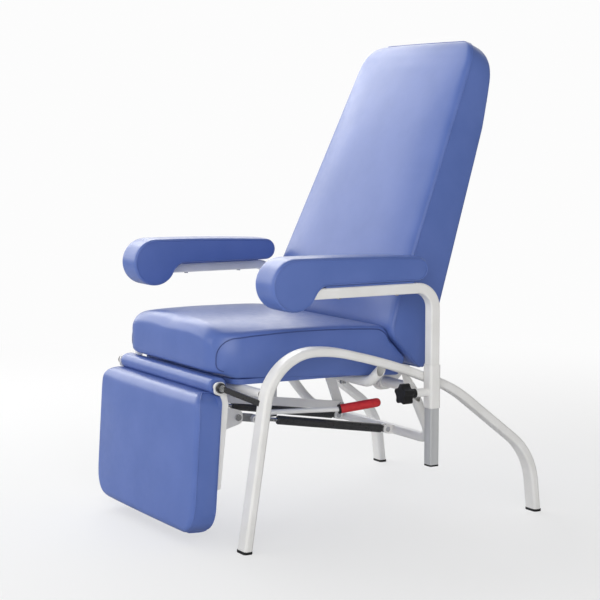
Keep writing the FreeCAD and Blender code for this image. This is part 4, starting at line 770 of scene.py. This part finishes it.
class Look:
    """A procedural material: a surface shader with mottled colour, varied roughness and a fine relief."""

    COLOUR_SPAN = (0.35, 0.65)
    ROUGH_SPAN = (0.3, 0.7)

    def __init__(self, name):
        self.material = bpy.data.materials.new(name)
        self.material.use_nodes = True
        self.nodes = self.material.node_tree.nodes
        self.links = self.material.node_tree.links
        self.surface = self.nodes["Principled BSDF"]
        self.coordinates = self.nodes.new("ShaderNodeTexCoord")

    def set(self, **values):
        for name, value in values.items():
            self.surface.inputs[name.replace("_", " ")].default_value = value
        return self

    def noise(self, scale, detail=3.0, stretch=None):
        node = self.nodes.new("ShaderNodeTexNoise")
        node.inputs["Scale"].default_value = scale
        node.inputs["Detail"].default_value = detail
        if stretch:
            mapping = self.nodes.new("ShaderNodeMapping")
            mapping.inputs["Scale"].default_value = stretch
            self.links.new(self.coordinates.outputs["Object"], mapping.inputs["Vector"])
            self.links.new(mapping.outputs["Vector"], node.inputs["Vector"])
        else:
            self.links.new(self.coordinates.outputs["Object"], node.inputs["Vector"])
        return node.outputs["Fac"]

    def cells(self, scale):
        node = self.nodes.new("ShaderNodeTexVoronoi")
        node.feature = "SMOOTH_F1"
        node.inputs["Scale"].default_value = scale
        self.links.new(self.coordinates.outputs["Object"], node.inputs["Vector"])
        return node.outputs["Distance"]

    def colour(self, dark, light, source):
        ramp = self.nodes.new("ShaderNodeValToRGB")
        for stop, tone, place in zip(ramp.color_ramp.elements, (dark, light), self.COLOUR_SPAN):
            stop.color = tone
            stop.position = place
        self.links.new(source, ramp.inputs["Fac"])
        self.links.new(ramp.outputs["Color"], self.surface.inputs["Base Color"])
        return self

    def rough(self, low, high, source):
        span = self.nodes.new("ShaderNodeMapRange")
        span.inputs["From Min"].default_value = self.ROUGH_SPAN[0]
        span.inputs["From Max"].default_value = self.ROUGH_SPAN[1]
        span.inputs["To Min"].default_value = low
        span.inputs["To Max"].default_value = high
        self.links.new(source, span.inputs["Value"])
        self.links.new(span.outputs["Result"], self.surface.inputs["Roughness"])
        return self

    def relief(self, source, strength, distance):
        bump = self.nodes.new("ShaderNodeBump")
        bump.inputs["Strength"].default_value = strength
        bump.inputs["Distance"].default_value = distance
        self.links.new(source, bump.inputs["Height"])
        last = self.surface.inputs["Normal"]
        if last.is_linked:
            self.links.new(last.links[0].from_socket, bump.inputs["Normal"])
        self.links.new(bump.outputs["Normal"], last)
        return self


vinyl = Look("vinyl").set(IOR=1.5, Coat_Weight=0.0)
vinyl.colour(linear(86, 110, 176), linear(93, 116, 182), vinyl.noise(9.0, 4.0))
vinyl.rough(0.29, 0.36, vinyl.noise(60.0, 3.0))
vinyl.relief(vinyl.cells(620.0), 0.06, 0.0006)
vinyl.relief(vinyl.noise(140.0, 4.0), 0.05, 0.001)

# Seat piping colour: a darker blue than the vinyl, painted shade that stands in for the shade in the seam's
# valley.
seam = Look("seam").set(IOR=1.5)
seam.colour(linear(58, 76, 132), linear(64, 82, 138), seam.noise(40.0))
seam.rough(0.36, 0.46, seam.noise(90.0))
seam.relief(seam.noise(900.0, 2.0), 0.10, 0.0004)

paint = Look("frame_paint").set(IOR=1.5)
paint.colour(linear(230, 229, 226), linear(236, 235, 233), paint.noise(14.0))
paint.rough(0.28, 0.38, paint.noise(90.0))
paint.relief(paint.noise(420.0, 2.0), 0.06, 0.0004)

post = Look("grey_post").set(Metallic=0.25, IOR=1.5)
post.colour(linear(186, 187, 188), linear(206, 207, 208), post.noise(40.0, 3.0, (1.0, 1.0, 0.03)))
post.rough(0.30, 0.42, post.noise(160.0, 3.0, (1.0, 1.0, 0.02)))
post.relief(post.noise(900.0, 2.0, (1.0, 1.0, 0.02)), 0.05, 0.0003)

steel = Look("bright_steel").set(Metallic=1.0)
steel.colour(linear(196, 197, 199), linear(214, 215, 216), steel.noise(120.0))
steel.rough(0.18, 0.30, steel.noise(200.0))
steel.relief(steel.noise(700.0, 2.0), 0.04, 0.0002)

dark = Look("black_steel").set(IOR=1.5)
dark.colour(linear(50, 50, 51), linear(58, 58, 59), dark.noise(240.0))
dark.rough(0.26, 0.34, dark.noise(300.0))
dark.relief(dark.noise(900.0, 2.0), 0.03, 0.0002)

plastic = Look("black_plastic").set(IOR=1.48)
plastic.colour(linear(22, 22, 23), linear(31, 31, 32), plastic.noise(80.0))
plastic.rough(0.42, 0.56, plastic.noise(160.0))
plastic.relief(plastic.noise(1200.0, 2.0), 0.15, 0.0003)

alloy = Look("grey_alloy").set(Metallic=0.7)
alloy.colour(linear(150, 151, 153), linear(172, 173, 174), alloy.noise(90.0))
alloy.rough(0.38, 0.52, alloy.noise(150.0))
alloy.relief(alloy.noise(800.0, 3.0), 0.12, 0.0003)

grip = Look("red_grip").set(IOR=1.5)
grip.colour(linear(196, 40, 46), linear(212, 50, 56), grip.noise(70.0))
grip.rough(0.30, 0.42, grip.noise(150.0))
grip.relief(grip.noise(900.0, 2.0), 0.08, 0.0003)

shell = Look("back_shell").set(IOR=1.5)
shell.colour(linear(86, 110, 176), linear(92, 115, 181), shell.noise(11.0, 4.0))
shell.rough(0.40, 0.50, shell.noise(60.0))
shell.relief(shell.cells(620.0), 0.10, 0.0006)

# Boards are covered like the pads that they carry, and the sync bar and the bushes are painted.
LOOKS = {"vinyl": vinyl, "frame_paint": paint, "grey_post": post, "bright_steel": steel, "black_steel": dark,
         "black_plastic": plastic, "grey_alloy": alloy, "red_grip": grip, "board": shell, "back_shell": shell}
PAINTED = ("sync_bar", "back_hinge_bushes")
for name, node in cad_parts.items():
    slot_name = node.data.materials[0].name.split(".")[0]
    look = paint if name in PAINTED else LOOKS[slot_name]
    node.data.materials[0] = look.material

# Piece, body that it rides on, solids that it stands for, and how full it is.
soft_pieces = (
    (seat, "frame", ("seat_cushion",), 0.75), (back, "backrest", ("back_cushion",), 0.75),
    (leg, "legrest", ("legrest_pad",), 0.75), (roll, "legrest", ("hinge_roll",), 0.7),
    (arm, "armrest_left", ("armrest_pad_left",), 0.85),
    (arm_right, "armrest_right", ("armrest_pad_right",), 0.85),
)
for obj, body, nodes, fill in soft_pieces:
    obj.data.materials.append(vinyl.material)
    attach(obj, body)
    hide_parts(*nodes)
# The seat's piping takes the darker seam colour, painted shade along its seam; the other pipings are plain
# vinyl.
trims = ((seat_pipe, "frame", seam), (back_pipe, "backrest", vinyl), (leg_pipe, "legrest", vinyl),
         (arm_pipe, "armrest_left", vinyl), (arm_pipe_right, "armrest_right", vinyl))
for obj, body, look in trims:
    obj.data.materials.append(look.material)
    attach(obj, body)
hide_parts("lever_grip")
for obj, look, slot_name in ((sleeve, grip, "red_grip"), (collar, plastic, "black_plastic")):
    obj.data.materials.append(look.material)
    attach(obj, "release_lever")


# Stage: a pale floor that fades into a white surround, soft light and the photograph's camera
def make_floor():
    """Pale floor that fades to white away from the chair, and looks duller in reflections."""
    mesh = bpy.data.meshes.new("floor")
    corners = [(x * FLOOR_SIZE, y * FLOOR_SIZE, 0) for x, y in ((-1, -1), (1, -1), (1, 1), (-1, 1))]
    mesh.from_pydata(corners, [], [(0, 1, 2, 3)])
    obj = linked("floor", mesh)
    look = bpy.data.materials.new("floor")
    look.use_nodes = True
    nodes, links = look.node_tree.nodes, look.node_tree.links
    surface = nodes["Principled BSDF"]
    surface.inputs["Roughness"].default_value = FLOOR_ROUGH
    surface.inputs["Specular IOR Level"].default_value = FLOOR_SHINE
    glow = nodes.new("ShaderNodeEmission")
    glow.inputs["Color"].default_value = (FLOOR_WHITE, FLOOR_WHITE, FLOOR_WHITE, 1.0)
    path = nodes.new("ShaderNodeLightPath")
    tone = nodes.new("ShaderNodeMix")
    tone.data_type = "RGBA"
    tone.inputs["A"].default_value = FLOOR_PALE
    tone.inputs["B"].default_value = FLOOR_DULL
    links.new(path.outputs["Is Glossy Ray"], tone.inputs["Factor"])
    links.new(tone.outputs["Result"], surface.inputs["Base Color"])
    place = nodes.new("ShaderNodeTexCoord")
    far = nodes.new("ShaderNodeVectorMath")
    far.operation = "LENGTH"
    links.new(place.outputs["Object"], far.inputs[0])
    fade = nodes.new("ShaderNodeMapRange")
    fade.interpolation_type = "SMOOTHSTEP"
    fade.inputs["From Min"].default_value = FLOOR_FADE[0]
    fade.inputs["From Max"].default_value = FLOOR_FADE[1]
    fade.inputs["To Min"].default_value = FLOOR_GLOW
    fade.inputs["To Max"].default_value = 1.0
    links.new(far.outputs["Value"], fade.inputs["Value"])
    share = nodes.new("ShaderNodeMath")
    share.operation = "MULTIPLY"
    links.new(fade.outputs["Result"], share.inputs[0])
    links.new(path.outputs["Is Camera Ray"], share.inputs[1])
    mix = nodes.new("ShaderNodeMixShader")
    links.new(share.outputs["Value"], mix.inputs["Fac"])
    links.new(surface.outputs["BSDF"], mix.inputs[1])
    links.new(glow.outputs["Emission"], mix.inputs[2])
    links.new(mix.outputs["Shader"], nodes["Material Output"].inputs["Surface"])
    mesh.materials.append(look)


FLOOR_SIZE = 9.0
FLOOR_ROUGH = 0.7
FLOOR_SHINE = 0.2
FLOOR_FADE = (0.9, 3.2)
FLOOR_WHITE = 0.975
FLOOR_GLOW = 0.55
FLOOR_PALE = (0.9, 0.9, 0.9, 1.0)
FLOOR_DULL = (0.35, 0.35, 0.35, 1.0)
make_floor()


def make_world():
    """White to the eye; reflections see a white backdrop beyond the chair and a dim room elsewhere."""
    world = bpy.data.worlds.new("surround")
    scene.world = world
    world.use_nodes = True
    nodes, links = world.node_tree.nodes, world.node_tree.links
    place = nodes.new("ShaderNodeTexCoord")
    toward = nodes.new("ShaderNodeVectorMath")
    toward.operation = "DOT_PRODUCT"
    toward.inputs[1].default_value = BACKDROP_WAY
    links.new(place.outputs["Generated"], toward.inputs[0])
    span = nodes.new("ShaderNodeMapRange")
    span.interpolation_type = "SMOOTHSTEP"
    span.inputs["From Min"].default_value = BACKDROP_SPAN[0]
    span.inputs["From Max"].default_value = BACKDROP_SPAN[1]
    span.inputs["To Min"].default_value = ROOM_DIM
    span.inputs["To Max"].default_value = BACKDROP_WHITE
    links.new(toward.outputs["Value"], span.inputs["Value"])
    path = nodes.new("ShaderNodeLightPath")
    split = nodes.new("ShaderNodeSeparateXYZ")
    links.new(place.outputs["Generated"], split.inputs["Vector"])
    height = nodes.new("ShaderNodeMapRange")
    height.interpolation_type = "SMOOTHSTEP"
    height.inputs["From Min"].default_value = 0.0
    height.inputs["From Max"].default_value = AMBIENT_HEIGHT
    height.inputs["To Min"].default_value = AMBIENT_SIDES
    height.inputs["To Max"].default_value = AMBIENT_TOP
    links.new(split.outputs["Z"], height.inputs["Value"])
    behind = nodes.new("ShaderNodeVectorMath")
    behind.operation = "DOT_PRODUCT"
    behind.inputs[1].default_value = DIM_WAY
    links.new(place.outputs["Generated"], behind.inputs[0])
    dim = nodes.new("ShaderNodeMapRange")
    dim.interpolation_type = "SMOOTHSTEP"
    dim.inputs["From Min"].default_value = DIM_SPAN[0]
    dim.inputs["From Max"].default_value = DIM_SPAN[1]
    dim.inputs["To Min"].default_value = 1.0
    dim.inputs["To Max"].default_value = DIM_SHARE
    links.new(behind.outputs["Value"], dim.inputs["Value"])
    around = nodes.new("ShaderNodeMath")
    around.operation = "MULTIPLY"
    links.new(height.outputs["Result"], around.inputs[0])
    links.new(dim.outputs["Result"], around.inputs[1])
    strength = nodes.new("ShaderNodeMix")
    links.new(around.outputs["Value"], strength.inputs["A"])
    links.new(path.outputs["Is Glossy Ray"], strength.inputs["Factor"])
    links.new(span.outputs["Result"], strength.inputs["B"])
    seen = nodes.new("ShaderNodeMath")
    seen.operation = "MAXIMUM"
    links.new(path.outputs["Is Camera Ray"], seen.inputs[0])
    links.new(path.outputs["Is Transmission Ray"], seen.inputs[1])
    shown = nodes.new("ShaderNodeMix")
    shown.inputs["B"].default_value = FLOOR_WHITE
    links.new(seen.outputs["Value"], shown.inputs["Factor"])
    links.new(strength.outputs["Result"], shown.inputs["A"])
    base = nodes["Background"]
    base.inputs["Color"].default_value = (1.0, 1.0, 1.0, 1.0)
    links.new(shown.outputs["Result"], base.inputs["Strength"])


BACKDROP_WAY = (-0.857, 0.504, 0.1)
BACKDROP_SPAN = (0.45, 0.85)
BACKDROP_WHITE = 1.0
ROOM_DIM = 0.22
AMBIENT_SIDES = 1.12
AMBIENT_TOP = 0.3
AMBIENT_HEIGHT = 0.9
DIM_WAY = (0.45, 0.89, 0.0)
DIM_SPAN = (0.2, 0.95)
DIM_SHARE = 0.35
make_world()


def soft_box(name, place, aim_height, size, power):
    """Area lamp that looks at a height above the middle of the floor."""
    data = bpy.data.lights.new(name, "AREA")
    data.shape = "RECTANGLE"
    data.size, data.size_y = size
    data.energy = power
    obj = linked(name, data)
    obj.location = place
    way = Vector((0.0, 0.0, aim_height)) - Vector(place)
    obj.rotation_euler = way.to_track_quat("-Z", "Y").to_euler()
    obj.visible_camera = False


# Name, place, height that the lamp looks at, width and height, and power.
LAMPS = (
    ("key", (-2.9, -1.2, 1.95), 0.6, (2.8, 2.6), 44.0),
    ("left", (-3.0, 0.2, 2.5), 0.5, (1.8, 1.5), 24.0),
    ("far", (-3.1, 1.4, 2.2), 0.3, (1.5, 1.5), 14.0),
    ("front", (-0.6, -3.4, 1.5), 0.4, (2.0, 2.0), 16.0),
    ("fill", (3.3, -2.0, 1.7), 0.5, (2.4, 2.4), 46.0),
)
for lamp in LAMPS:
    soft_box(*lamp)

LENS_PIXELS = 1636.0
SENSOR = 36.0
PICTURE = 600.0
CAMERA_PLACE = (3.5097, -2.0863, 0.9563)
CAMERA_RIGHT = (0.50697, 0.86197, 0.00014)
CAMERA_UP = (-0.09182, 0.05384, 0.99432)
CAMERA_FORWARD = (-0.85706, 0.5041, -0.10645)
camera_data = bpy.data.cameras.new("camera")
camera_data.sensor_width = SENSOR
camera_data.lens = LENS_PIXELS / PICTURE * SENSOR
camera = linked("camera", camera_data)
turn = Matrix((CAMERA_RIGHT, CAMERA_UP, [-value for value in CAMERA_FORWARD])).transposed()
camera.matrix_world = Matrix.Translation(CAMERA_PLACE) @ turn.to_4x4()
scene.camera = camera
scene.view_settings.view_transform = "Standard"
